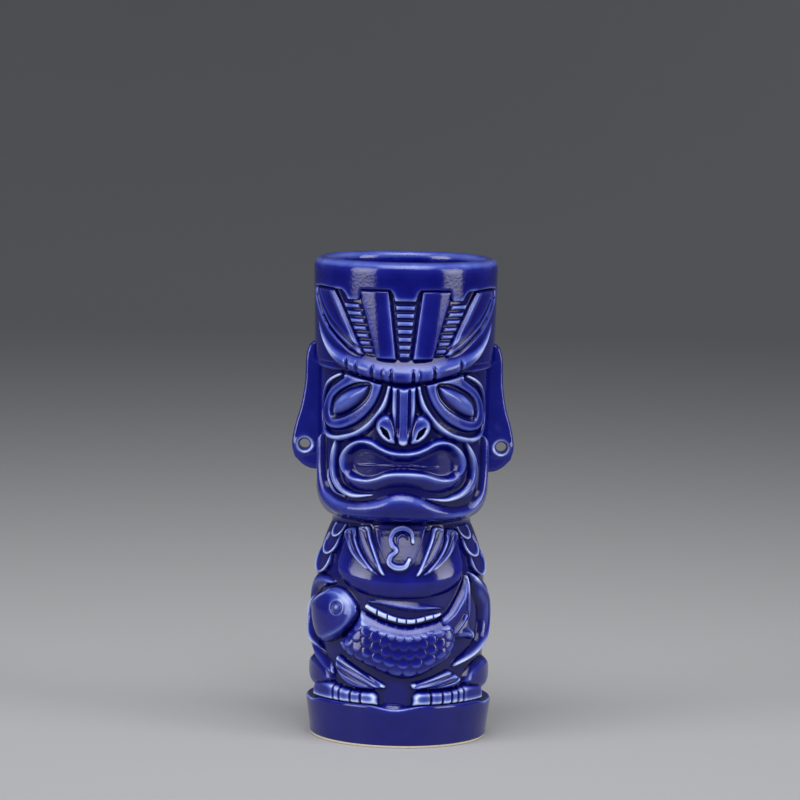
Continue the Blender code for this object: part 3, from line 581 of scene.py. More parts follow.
def nose_bridge(u, z):
    """A bridge with a broad middle ridge and one at each side."""
    height = ridge(u, z, nose_line, 3.0, 1.3) + 0.45 * groove(u, 1.4)
    scored = unit((z - 107.5) / 4.0)
    height -= 0.9 * scored * groove(np.abs(u) - 1.9, 0.42)
    return np.minimum(height, under_band(u, z))


def nostril(u, z):
    """A full round wing with a rim round its slit."""
    height = shoulder(depth_in(u, z, wing_loop), 3.1, 2.4)
    distance, half, _, _ = follow(u, z, slit_line)
    return np.minimum(height, 1.5 + shoulder(distance - half, 1.9, 0.9))


sprig("nose_bridge", (-5.0, 5.0, 102.5, 130.0), nose_bridge, step=0.25)
pair("nostril", (-11.0, -0.8, 104.0, 117.6), nostril, step=0.22)


# Lips. A thick ring drawn back in a grimace round a hollow mouth, with a thin
# line of teeth showing at the bottom of the hollow.

lip_half = [
    (0.0, 103.9), (4.0, 104.3), (7.2, 105.6), (10.2, 107.3), (13.6, 107.9), (17.4, 107.1),
    (20.8, 105.0), (23.2, 102.0), (24.3, 98.2), (23.9, 94.4), (22.0, 91.4), (18.8, 89.5),
    (15.2, 88.7), (11.6, 88.8), (8.2, 89.5), (4.6, 90.4), (0.0, 90.8)]
lip_outer_loop = smooth_loop(lip_half + [(-u, z) for u, z in reversed(lip_half[1:-1])])
teeth_line = smooth_line([
    (-17.0, 97.7, 0.6), (-10.5, 97.9, 0.8), (-4.2, 98.0, 0.9), (1.8, 98.2, 0.9), (5.9, 97.8, 0.8),
    (13.0, 97.3, 0.6)])
mouth_floor = -0.3


def lips(u, z):
    """A ring whose crest is high on the upper lip and on the brink of the lower one."""
    outside = depth_in(u, z, lip_outer_loop)
    inside = -depth_in(u, z, lip_inner_loop)
    share = outside / np.maximum(np.abs(outside) + np.abs(inside), 0.1)
    above = np.clip((z - 98.3) / 3.0, -1.0, 1.0)
    crest = 0.46 - 0.30 * above * unit((21.0 - np.abs(u)) / 6.0)
    rise = 0.8 + 1.2 * unit((z - 94.5) / 5.0)
    ring = np.minimum(slope(outside, 3.3, rise=rise, soft=0.9),
                      3.3 - 3.6 * ease((share - crest) / (1.0 - crest)))
    teeth = mouth_floor + ridge(u, z, teeth_line, 0.6, 0.45)
    for place in (-2.9, -0.6, 1.8):
        teeth += 0.5 * groove(np.hypot(u - place, z - 98.2), 0.75)
    return np.maximum(np.where(inside < 0.0, mouth_floor, ring),
                      np.where(inside < 0.6, teeth, -1.9))


sprig("lips", (-25.5, 25.5, 87.6, 109.2), lips, step=0.28, floor=-1.75, back=-2.5)


# Eyes. Each is a slanting lens in a scored ring, with a lid that curls round
# the outside of it from the temple to the nose.

lens_loop = smooth_loop([
    (-26.9, 114.2), (-27.5, 116.6), (-26.5, 119.5), (-24.0, 121.7), (-21.2, 123.3), (-18.7, 124.5),
    (-16.3, 125.3), (-13.8, 125.6), (-12.2, 125.4), (-12.6, 123.0), (-13.9, 120.8), (-16.1, 118.6),
    (-18.9, 116.7), (-21.9, 115.2), (-24.7, 114.3)])
socket_loop = smooth_loop([
    (-25.0, 130.4), (-30.4, 128.4), (-34.4, 125.4), (-36.4, 121.6), (-36.8, 117.0), (-36.0, 112.0),
    (-33.4, 108.6), (-28.6, 107.2), (-21.6, 107.8), (-17.0, 109.2), (-13.2, 111.8), (-10.2, 115.0),
    (-7.6, 119.0), (-6.2, 122.6), (-5.6, 126.4), (-6.6, 129.0), (-10.0, 131.0), (-18.0, 131.4)])
lid_line = smooth_line([
    (-4.6, 127.8, 1.8), (-5.0, 123.4, 2.6), (-6.6, 118.6, 3.0), (-9.8, 113.9, 3.2),
    (-13.0, 110.8, 3.3), (-17.0, 108.3, 3.3), (-21.6, 106.9, 3.2), (-26.6, 106.2, 3.1),
    (-31.4, 107.3, 3.0), (-34.8, 110.8, 2.9), (-35.6, 115.6, 2.7), (-34.8, 120.2, 2.6),
    (-32.2, 124.1, 2.4), (-28.4, 126.9, 2.2), (-24.0, 128.8, 1.6)])
moat_line = smooth_line([
    (-22.6, 128.0), (-25.0, 126.5), (-28.7, 124.1), (-31.7, 120.7), (-33.5, 116.3), (-33.2, 112.5),
    (-30.5, 109.8), (-26.1, 109.1), (-22.2, 109.7), (-19.2, 110.8), (-16.4, 112.2), (-13.7, 114.2),
    (-11.6, 116.4), (-9.8, 118.9), (-8.4, 121.7), (-7.4, 124.6), (-6.8, 127.6)])


def eye_lens(u, z):
    """A smooth lens, fullest along its middle."""
    return np.minimum(0.7 + shoulder(depth_in(u, z, lens_loop), 2.3, 3.0), 0.6 + under_band(u, z))


def eye_ring(u, z):
    """A flat band round the lens, between a groove and a wider moat."""
    away = -depth_in(u, z, lens_loop)
    height = shoulder(depth_in(u, z, socket_loop), 2.1, 1.5)
    height = np.minimum(height, 0.5 + shoulder(away - 0.8, 1.6, 0.7))
    moat, _, _, side = follow(u, z, moat_line)
    height = np.minimum(height, np.where(side > 0.0, 0.2 + shoulder(moat, 1.9, 1.5), 0.2))
    return np.maximum(np.minimum(height, under_band(u, z)), np.where(away < 1.0, 0.4, -1.0))


def eyelid(u, z):
    """A fold that is crisp on its inner side and falls softly to the cheek."""
    distance, half, _, side = follow(u, z, lid_line)
    across = side * distance / np.maximum(half, 0.3)
    crest = -0.3
    profile = np.where(across > crest, 1.0 - np.abs((across - crest) / (1.0 - crest)) ** 1.8,
                       1.0 - np.abs((crest - across) / (1.0 + crest)) ** 2.4)
    return np.minimum(2.3 * profile * np.clip((u + 42.0) / 12.0, 0.5, 1.0), under_band(u, z))


pair("eye_lens", (-29.4, -9.8, 112.4, 127.4), eye_lens, step=0.25, floor=0.1)
pair("eye_ring", (-38.4, -4.4, 105.8, 132.6), eye_ring)
pair("eyelid", (-38.6, -2.6, 103.6, 131.0), eyelid)


# Cheeks and jaw. A fold runs down each side of the mouth, a finer line beside
# it, and the jaw stands out below them in a long wave.

left_fold = smooth_line([
    (-25.3, 106.6, 1.6), (-26.7, 102.1, 3.3), (-27.2, 98.6, 3.7), (-27.1, 95.1, 3.8),
    (-25.9, 91.8, 3.7), (-23.6, 89.4, 3.4), (-20.4, 87.9, 3.2), (-16.7, 87.2, 2.6),
    (-10.6, 87.8, 1.0)])
right_fold = smooth_line([
    (23.6, 106.2, 1.6), (26.1, 102.4, 3.3), (27.8, 99.3, 3.8), (28.5, 95.9, 4.2),
    (27.8, 92.5, 4.2), (25.6, 89.9, 3.8), (22.6, 88.1, 3.4), (19.2, 86.9, 3.0), (15.2, 86.2, 2.2),
    (8.9, 86.9, 0.9)])
fine_line = smooth_line([
    (-30.8, 95.6, 0.5), (-29.9, 91.6, 1.5), (-27.0, 88.2, 1.7), (-21.6, 86.2, 0.8)])
jaw_loop = smooth_loop([
    (-0.7, 89.0), (3.4, 88.5), (7.5, 87.3), (11.9, 85.4), (16.8, 84.0), (22.1, 83.5), (27.4, 84.5),
    (31.8, 87.8), (33.8, 94.0), (34.4, 106.4), (36.6, 107.0), (38.6, 104.0), (38.4, 94.0),
    (35.6, 84.6), (30.6, 79.2), (22.0, 77.4), (10.0, 77.0), (-10.0, 77.0), (-22.0, 77.4),
    (-30.6, 79.2), (-35.6, 84.6), (-38.4, 94.0), (-38.6, 104.0), (-36.6, 107.0), (-34.4, 106.4),
    (-33.6, 95.0), (-31.4, 89.6), (-27.8, 87.2), (-23.3, 85.7), (-18.0, 85.2), (-13.3, 85.6),
    (-8.9, 86.6), (-4.7, 88.2)])


def folded(fold, fine):
    """A round fold with a finer ridge outside its lower end."""
    def relief(u, z):
        return np.maximum(ridge(u, z, fold, 2.2, 1.5), ridge(u, z, fine, 1.3, 0.7))
    return relief


def jaw_front(u):
    """Share of the jaw's front, which ends where the jaw turns to the sides."""
    return unit((34.0 - np.abs(u)) / 5.0)


def jaw(u, z):
    """A full jaw: a flat slope along the top of the chin, rounded sides."""
    depth = depth_in(u, z, jaw_loop)
    front = jaw_front(u)
    return front * slope(depth, 2.4, soft=0.8) + (1.0 - front) * shoulder(depth, 2.3, 2.4)


sprig("left_cheek_fold", (-33.0, -8.4, 83.2, 109.0), folded(left_fold, fine_line))
sprig("right_cheek_fold", (7.0, 33.0, 83.2, 109.0),
      folded(right_fold, fine_line * (-1.0, 1.0, 1.0)))
sprig("jaw", (-40.0, 40.0, 75.9, 108.6), jaw, step=0.36)


# Ears. Long slabs of clay luted to the temples, with a round hole through each
# lobe; every edge is sponged soft, and a low rim stands round the hole.

ear_hole = (34.3, 102.0)
for side in ("left", "right"):
    deselect()
    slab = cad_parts[side + "_ear"]
    slab.select_set(True)
    bpy.context.view_layer.objects.active = slab
    bpy.ops.object.duplicate()
    ear = bpy.context.object
    ear.name = side + "_ear_slab"
    ear.data.name = ear.name
    for key in list(ear.keys()):
        del ear[key]
    bpy.ops.object.mode_set(mode="EDIT")
    bpy.ops.mesh.select_all(action="SELECT")
    bpy.ops.mesh.remove_doubles(threshold=weld)
    bpy.ops.object.mode_set(mode="OBJECT")
    remesh = ear.modifiers.new("even", "REMESH")
    remesh.mode = "VOXEL"
    remesh.voxel_size = 0.0004
    bpy.ops.object.modifier_apply(modifier=remesh.name)
    soften = ear.modifiers.new("soften", "SMOOTH")
    soften.factor = 0.5
    soften.iterations = 8
    bpy.ops.object.modifier_apply(modifier=soften.name)
    ear_points = points_of(ear)
    across, above = np.abs(ear_points[:, 0]) - ear_hole[0], ear_points[:, 2] - ear_hole[1]
    hole = np.hypot(across, above)
    outward = np.sign(ear_points[:, 0])
    widen = 0.42 * groove(hole - 1.8, 1.0) / np.maximum(hole, 1.0)
    ear_points[:, 0] += outward * across * widen
    ear_points[:, 2] += above * widen
    ear_points[:, 1] += np.sign(ear_points[:, 1]) * 0.35 * groove(hole - 2.9, 0.7)
    ear_points[:, 0] -= outward * 1.6 * unit((32.0 - np.abs(ear_points[:, 0])) / 1.2)
    place_points(ear, ear_points)
    bpy.ops.object.shade_smooth()
    ear.data.materials.clear()
    ear.data.materials.append(cobalt)
    glazed.append(ear)
    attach(ear, "root")
    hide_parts(side + "_ear")


# Belly. A round belly swells out between collar and fish, with a crease
# under it and one narrow fold below the crease.

belly_loop = smooth_loop([
    (-25.6, 74.6), (-20.0, 76.4), (-10.0, 76.6), (0.0, 76.6), (10.0, 76.6), (20.0, 76.4),
    (25.6, 74.6), (27.2, 67.0), (26.2, 60.0), (21.6, 55.2), (13.0, 52.7), (0.0, 51.8),
    (-13.0, 52.9), (-22.0, 56.0), (-26.8, 60.6), (-27.4, 67.0)])
fold_below = smooth_line([
    (-12.0, 50.7, 0.8), (-9.9, 50.6, 1.8), (-7.0, 50.5, 2.1), (-2.7, 50.0, 2.9), (1.8, 49.4, 3.6),
    (7.1, 48.9, 3.4), (12.6, 48.7, 1.9), (16.6, 48.4, 0.6)])


def belly(u, z):
    """A round belly, fullest low down, that thins out under the collar."""
    full = 0.25 + 0.75 * ease((73.0 - z) / 15.0)
    return shoulder(depth_in(u, z, belly_loop), 2.7, 6.5) * full


def belly_fold(u, z):
    """A narrow fold that tapers at both ends."""
    distance, half, _, _ = follow(u, z, fold_below)
    return slope(half - distance, 2.4, rise=0.78, soft=0.5)


sprig("belly", (-28.5, 28.5, 50.5, 77.0), belly, step=0.32)
sprig("belly_fold", (-14.0, 18.0, 46.4, 52.8), belly_fold, step=0.25)


# Collar. A bib under the chin carries a hook pendant, two pairs of ribbed
# leaves spread from it, and a lei of overlapping drops hangs at each side.

hook_line = smooth_line([
    (4.6, 71.6, 2.0), (4.1, 74.6, 2.4), (0.9, 76.1, 2.6), (-2.7, 75.1, 2.6), (-4.1, 72.6, 2.6),
    (-3.3, 70.3, 2.6), (-1.7, 68.7, 2.3), (-3.7, 66.7, 2.6), (-3.8, 64.6, 2.6), (-1.5, 63.2, 2.6),
    (1.4, 63.5, 2.4), (3.0, 65.8, 1.8)])
curl_line = smooth_line([(-1.3, 70.6, 1.0), (-1.4, 72.7, 1.4), (0.7, 73.9, 1.4), (2.6, 72.4, 0.9)])
bib_loop = smooth_loop([
    (-12.4, 75.8), (-10.6, 72.6), (-8.6, 69.4), (-6.9, 66.8), (-5.4, 64.7), (-3.4, 62.4),
    (-0.6, 61.4), (2.2, 62.2), (4.7, 64.7), (6.3, 67.5), (8.1, 70.4), (10.6, 74.8), (11.4, 77.0),
    (0.0, 77.6), (-12.8, 77.0)])
inner_leaf_loop = smooth_loop([
    (-19.2, 75.6), (-14.0, 76.2), (-11.8, 72.4), (-9.6, 69.0), (-7.6, 65.6), (-5.9, 62.2),
    (-5.2, 60.0), (-6.9, 60.9), (-9.7, 63.5), (-12.8, 66.3), (-15.4, 69.2), (-17.6, 72.0)])
outer_leaf_loop = smooth_loop([
    (-26.2, 72.6), (-25.6, 74.6), (-20.6, 75.2), (-18.5, 71.9), (-16.3, 69.1), (-13.6, 66.3),
    (-10.4, 63.3), (-7.2, 60.2), (-9.9, 60.9), (-13.0, 62.4), (-16.1, 64.4), (-19.5, 66.6),
    (-22.7, 69.2)])


def bib(u, z):
    """A thin plate with a soft edge."""
    depth = depth_in(u, z, bib_loop)
    on_belly = np.maximum(belly(u, z), 0.0) + shoulder(depth, 0.4, 0.6)
    return np.maximum(shoulder(depth, 0.95, 0.8), on_belly)


def hook_pendant(u, z):
    """A flat-topped hook on the bib, with a fine curl inside its bend."""
    hook = np.maximum(ridge(u, z, hook_line, 1.5, 0.8), ridge(u, z, curl_line, 0.8, 0.6))
    return np.maximum(bib(u, z), 0.3) - 0.1 + hook


def off_line(u, z, stations):
    """Distance to a smooth line through stations."""
    return follow(u, z, smooth_line(stations))[0]


def leaf(loop, edge, ribs, rib_height, rib_width):
    """A leaf laid on the belly, dished inside its raised sides, with ribs along it."""
    def relief(u, z):
        depth = depth_in(u, z, loop)
        rib = np.minimum.reduce([off_line(u, z, stations) for stations in ribs])
        shape = shoulder(depth, edge, 0.8) - 0.4 * np.clip(depth - 0.9, 0.0, 1.2)
        return np.maximum(belly(u, z), 0.6) + shape + rib_height * groove(rib, rib_width)
    return relief


def lei_drop(u0, top, foot, width):
    """A scallop that hangs over the next one, with a thin rim along its sides and foot."""
    def relief(u, z):
        reach = np.hypot(u - u0, np.minimum(z - foot - width / 2, 0.0))
        depth = np.minimum(width / 2 - reach, top - z)
        full = 1.1 + 1.2 * unit((top - z) / (top - foot))
        return shoulder(depth, full, 0.8) - 0.8 * ease((width / 2 - reach - 0.7) / 1.3)
    return relief


sprig("bib", (-14.2, 12.8, 60.2, 78.4), bib)
sprig("hook_pendant", (-6.2, 6.6, 59.8, 78.2), hook_pendant, step=0.22, floor=0.7)
pair("inner_leaf", (-20.8, -4.2, 58.8, 77.4),
     leaf(inner_leaf_loop, 1.0, [[(-15.0, 75.6), (-10.8, 69.2), (-8.8, 65.9), (-5.9, 60.9)]],
          0.5, 0.6), step=0.26, floor=0.25)
pair("outer_leaf", (-27.6, -6.0, 59.0, 76.6),
     leaf(outer_leaf_loop, 0.9, [[(-23.9, 73.2), (-20.4, 68.9), (-16.3, 65.4), (-12.0, 62.4)],
                                 [(-21.4, 73.8), (-17.8, 69.6), (-14.4, 66.2), (-9.6, 62.0)]],
          0.45, 0.45), step=0.26, floor=0.25)
for drop, u0, top, foot, width in (("upper_lei_drop", -31.2, 76.2, 70.8, 9.0),
                                   ("middle_lei_drop", -33.2, 72.6, 64.6, 11.0),
                                   ("lower_lei_drop", -36.6, 66.6, 57.8, 13.0)):
    reach = width / 2 + 1.0
    pair(drop, (u0 - reach, u0 + reach, foot - 1.0, top + 1.0), lei_drop(u0, top, foot, width),
         step=0.26)


# Fish. It lies across the belly with its head at the left: a smooth head with
# a round eye, a scaled body, spines along its back, and ribbed fins and tail.

head_loop = smooth_loop([
    (-21.7, 54.4), (-18.6, 52.6), (-16.4, 50.4), (-15.3, 47.9), (-15.3, 45.3), (-16.4, 42.6),
    (-18.3, 40.2), (-21.2, 38.0), (-25.6, 35.8), (-31.0, 34.2), (-36.6, 34.8), (-41.2, 38.0),
    (-43.4, 42.4), (-41.0, 47.2), (-36.5, 50.8), (-31.0, 53.4), (-26.1, 54.9)])
body_loop = smooth_loop([
    (-14.6, 47.8), (-13.2, 47.6), (-9.8, 46.2), (-6.2, 44.7), (-2.6, 43.7), (0.9, 43.0),
    (4.0, 42.9), (7.2, 43.4), (10.4, 44.0), (13.4, 44.7), (17.0, 46.0), (20.4, 44.6), (21.8, 40.0),
    (21.2, 34.4), (18.2, 30.4), (13.0, 27.4), (6.8, 24.8), (1.6, 24.1), (-3.0, 25.0), (-8.3, 26.8),
    (-14.0, 29.0), (-20.2, 31.6), (-23.2, 35.8), (-20.6, 38.8), (-18.2, 41.6), (-16.0, 44.6)])
body_back = body_loop[:88]  # along its first 11 corners
body_line = smooth_line([
    (-24.0, 44.0), (-15.0, 39.6), (-6.0, 35.2), (1.0, 33.6), (8.4, 34.4), (14.0, 37.6),
    (19.6, 43.0)])
tail_loop = smooth_loop([
    (26.6, 59.6), (23.4, 54.6), (20.9, 51.2), (18.2, 48.0), (14.6, 45.2), (13.4, 41.6),
    (17.0, 38.0), (22.0, 37.2), (27.4, 36.8), (31.8, 36.4), (31.0, 39.4), (27.9, 42.4),
    (28.7, 46.0), (28.8, 51.0), (28.0, 57.6)])
spine_line = smooth_line([
    (-11.7, 49.0, 2.0), (-9.8, 48.1, 2.3), (-6.2, 46.5, 2.4), (-2.7, 45.3, 2.3), (0.8, 44.5, 2.2),
    (4.0, 44.3, 2.2), (7.1, 44.8, 2.1), (10.4, 45.6, 2.0), (13.4, 46.2, 1.7), (14.8, 46.8, 1.0)])
pelvic_loop = smooth_loop([
    (-24.2, 31.0), (-21.6, 30.5), (-18.0, 28.9), (-12.0, 25.9), (-5.0, 22.4), (-5.0, 20.5),
    (-10.0, 19.8), (-15.8, 19.7), (-21.0, 21.9), (-24.0, 24.9), (-25.2, 28.4)])
anal_loop = smooth_loop([
    (4.2, 22.6), (7.6, 23.7), (11.6, 25.0), (17.0, 26.9), (20.0, 26.6), (24.5, 23.6), (23.0, 21.4),
    (19.3, 20.0), (11.3, 20.0), (5.3, 20.3)])


def fish_head(u, z):
    """A full head with a crisp gill edge, a ringed eye and a fold over the snout."""
    depth = depth_in(u, z, head_loop)
    dome = unit(1.0 - ((u + 27.0) / 17.0) ** 2 - ((z - 44.6) / 12.5) ** 2)
    height = shoulder(depth, 1.4, 0.9) + 3.5 * dome * unit(depth / 2.0)
    eye = np.hypot(u + 22.3, z - 48.0)
    height += 0.45 * groove(off_line(u, z, [(-27.8, 53.5), (-32.8, 50.0), (-39.2, 46.2)]), 0.6)
    height += 0.3 * groove(eye, 0.8) + 0.15 * groove(eye - 2.6, 0.5)
    return height - 0.4 * groove(eye - 1.7, 0.45)


def scale_rows(u, z):
    """Overlapping round scales in staggered rows, their free ends hanging."""
    distance, _, run, side = follow(u, z, body_line)
    along, down = run, -side * distance
    pitch, row_pitch = 3.7, 3.1
    best = np.full(u.shape, -1.0)
    for row_step in (-1, 0, 1):
        row = np.round(down / row_pitch) + row_step
        stagger = np.where(np.mod(row, 2) > 0.5, 0.5, 0.0)
        for column_step in (-1, 0, 1):
            column = np.round(along / pitch - stagger) + column_step
            off_along = along - (column + stagger) * pitch
            off_down = down - row * row_pitch
            reach = np.hypot(off_along / 2.0, np.maximum(off_down, 0.3 * off_down) / 2.3)
            tile = 0.6 * np.sqrt(unit(1.0 - reach ** 8)) + 0.14 * off_down
            best = np.maximum(best, np.where(reach < 1.0, tile, -1.0))
    return np.clip(best, -0.1, 1.2)


def fish_body(u, z):
    """A full body: a smooth slope along the back, scales below it."""
    depth = depth_in(u, z, body_loop)
    back = follow(u, z, body_back)[0]
    inward = np.where(depth > 0.0, back, depth)
    smooth_back = shoulder(inward, 1.4, 0.6)
    smooth_back += slope(np.maximum(inward, 0.0), 2.1, rise=0.6, soft=0.8)
    height = np.minimum(shoulder(depth, 3.5, 5.0), smooth_back)
    bare = unit((back - 2.7) / 1.3)
    return height + bare * scale_rows(u, z) * unit(depth / 1.5)


def fish_tail(u, z):
    """A forked tail with a ridge across its root."""
    height = shoulder(depth_in(u, z, tail_loop), 3.0, 2.6)
    root = off_line(u, z, [(18.6, 39.4), (20.4, 40.5), (23.4, 43.4), (24.8, 45.6)])
    height += 0.5 * groove(root, 0.5) - 0.4 * groove(root - 1.2, 0.5)
    for rib in ([(26.4, 57.6), (25.4, 52.0), (24.8, 47.0)],
                [(30.4, 37.4), (27.0, 39.6), (24.0, 40.6)]):
        height -= 0.5 * groove(off_line(u, z, rib), 0.42)
    return height


def dorsal_fin(u, z):
    """A row of short blocks along the back."""
    height = ridge(u, z, spine_line, 2.3, 0.8)
    for gap in (-7.9, -4.3, -0.9, 2.3, 5.7, 8.9, 11.9):
        height = np.minimum(height, 0.4 + shoulder(np.abs(u - gap), 2.4, 0.7))
    return height


def finned(loop, ribs):
    """A fin with ribs scored along it."""
    def relief(u, z):
        height = shoulder(depth_in(u, z, loop), 2.3, 1.8)
        for rib in ribs:
            height -= 0.7 * groove(off_line(u, z, rib), 0.42)
        return height
    return relief


sprig("fish_head", (-44.5, -13.5, 34.5, 56.5), fish_head)
sprig("fish_body", (-24.5, 25.0, 23.0, 52.5), fish_body, step=0.26)
sprig("fish_tail", (12.0, 33.5, 35.4, 60.8), fish_tail)
sprig("dorsal_fin", (-13.6, 16.2, 41.4, 51.2), dorsal_fin, step=0.22)
sprig("pelvic_fin", (-27.0, -3.4, 18.6, 32.8), finned(pelvic_loop, [
    [(-24.0, 29.0), (-15.0, 25.4), (-6.0, 20.8)], [(-23.4, 26.4), (-15.6, 23.4), (-7.4, 20.4)],
    [(-20.4, 29.6), (-13.4, 26.0), (-6.6, 21.8)]]), step=0.26)
sprig("anal_fin", (3.0, 26.0, 18.6, 28.4), finned(anal_loop, [
    [(6.0, 21.6), (13.0, 23.4), (20.6, 25.4)], [(8.0, 20.6), (15.0, 21.8), (22.8, 23.6)],
    [(6.4, 22.6), (12.0, 24.8), (17.0, 26.6)]]), step=0.26)


# Limbs. Long arms hold the fish from both sides, bent legs fold up beside the
# plinth, and the feet rest on its ledge with the toes scored apart.

left_arm_loop = smooth_loop([
    (-26.4, 55.4), (-32.0, 58.2), (-40.0, 57.6), (-47.0, 51.0), (-49.6, 42.0), (-47.4, 34.0),
    (-40.6, 28.6), (-33.0, 24.6), (-27.0, 22.8), (-26.4, 26.0), (-33.6, 31.0), (-40.6, 37.0),
    (-43.6, 44.0), (-38.6, 51.6)])
right_arm_loop = smooth_loop([
    (28.6, 60.0), (34.6, 58.6), (41.6, 54.4), (45.4, 47.0), (45.0, 39.0), (41.2, 33.6),
    (34.4, 30.4), (27.0, 28.6), (20.6, 27.6), (22.6, 30.4), (28.8, 33.4), (34.2, 35.6),
    (37.0, 39.8), (36.8, 46.0), (31.6, 52.6)])
left_foot_line = smooth_line([
    (-34.0, 17.6, 7.0), (-28.0, 18.2, 7.0), (-20.0, 17.2, 6.2), (-9.6, 17.2, 5.4)])
right_foot_line = smooth_line([
    (33.0, 17.6, 7.0), (27.0, 18.0, 6.6), (19.0, 17.3, 6.2), (7.4, 17.4, 5.4)])
leg_loop = smooth_loop([
    (-25.6, 22.8), (-30.0, 27.4), (-38.0, 29.6), (-46.0, 28.2), (-47.6, 22.0), (-43.0, 17.8),
    (-34.0, 18.0), (-28.0, 19.4)])


def left_arm(u, z):
    """A thin arm with a fine ridge along its outer side."""
    outer_side = off_line(u, z, [
        (-31.0, 54.6), (-38.0, 51.6), (-44.6, 46.4), (-46.2, 41.0), (-44.4, 36.4), (-40.8, 34.0),
        (-36.0, 32.4), (-30.1, 29.7), (-27.0, 26.2), (-26.0, 24.2)])
    return shoulder(depth_in(u, z, left_arm_loop), 2.3, 3.0) + 1.1 * groove(outer_side, 0.5)


def right_arm(u, z):
    """A thin arm that ends in a pointed hand."""
    middle = off_line(u, z, [
        (31.0, 57.4), (41.6, 48.4), (40.6, 38.0), (31.0, 32.0), (21.4, 28.6)])
    return shoulder(depth_in(u, z, right_arm_loop), 2.6, 2.8) + 0.6 * groove(middle, 0.8)


def toed_foot(line, toe_gaps):
    """A foot, upright at the front edge of the ledge, with its toes scored apart."""
    def relief(u, z):
        sole = np.interp(u, *line[np.argsort(line[:, 0])][:, :2].T)
        distance, half, _, _ = follow(u, np.maximum(z, sole), line)
        height = np.minimum(shoulder(half - distance, 3.1, 1.8), shoulder(z - 14.8, 3.1, 1.2))
        for gap in toe_gaps:
            height -= 1.2 * groove(u - gap, 0.36)
        return height
    return relief


def leg(u, z):
    """A folded leg."""
    return shoulder(depth_in(u, z, leg_loop), 2.5, 3.4)


sprig("left_arm", (-51.5, -25.0, 21.6, 59.8), left_arm, step=0.36)
sprig("right_arm", (18.0, 47.5, 25.6, 61.6), right_arm, step=0.36)
sprig("left_foot", (-38.6, -6.0, 13.7, 22.4),
      toed_foot(left_foot_line, (-24.4, -21.7, -17.1, -13.2)), step=0.26)
sprig("right_foot", (4.0, 37.6, 13.7, 22.4),
      toed_foot(right_foot_line, (11.3, 15.6, 19.3, 22.0, 24.5)), step=0.26)
pair("leg", (-49.5, -24.5, 16.4, 31.0), leg, step=0.36)


# Glaze. The whole figure is dipped in cobalt glaze: it thins to pale blue as it
# runs off ridges and edges, and pools dark in every crease. Some pieces also
# have painted highlights and painted shade added to that same value.

sheet_step = 0.3
near_reach, near_fall = 0.9, 2.1
far_reach, far_fall = 2.4, 11.0
most_pooled, most_pooled_on_lips = -0.22, -0.06
sheet_u = np.arange(-100.0, 100.0, sheet_step)
sheet_z = np.arange(10.0, 170.0, sheet_step)
surface = np.zeros((len(sheet_z), len(sheet_u)))
for (left, right, low, high), relief in carvings:
    columns = np.flatnonzero((sheet_u >= left) & (sheet_u <= right))
    rows = np.flatnonzero((sheet_z >= low) & (sheet_z <= high))
    grid_u, grid_z = np.meshgrid(sheet_u[columns], sheet_z[rows])
    raised = relief(grid_u.ravel(), grid_z.ravel()).reshape(grid_u.shape)
    patch = surface[rows[0]:rows[-1] + 1, columns[0]:columns[-1] + 1]
    np.maximum(patch, raised, out=patch)


def spread(field, reach):
    """A field averaged over its surroundings."""
    radius = math.ceil(3.0 * reach / sheet_step)
    weights = np.exp(-0.5 * (np.arange(-radius, radius + 1) * sheet_step / reach) ** 2)
    weights /= weights.sum()
    for axis in (0, 1):
        padding = [(radius, radius) if a == axis else (0, 0) for a in (0, 1)]
        padded = np.pad(field, padding, mode="edge")
        size = field.shape[axis]
        field = sum(weight * np.take(padded, np.arange(i, i + size), axis=axis)
                    for i, weight in enumerate(weights))
    return field


near_average = spread(surface, near_reach)
far_average = spread(surface, far_reach)


def looked_up(field, u, z):
    """Values of a sheet field at points of the wall."""
    column = np.clip((u - sheet_u[0]) / sheet_step, 0, len(sheet_u) - 2)
    row = np.clip((z - sheet_z[0]) / sheet_step, 0, len(sheet_z) - 2)
    c, r = column.astype(int), row.astype(int)
    fc, fr = column - c, row - r
    return ((field[r, c] * (1 - fc) + field[r, c + 1] * fc) * (1 - fr)
            + (field[r + 1, c] * (1 - fc) + field[r + 1, c + 1] * fc) * fr)


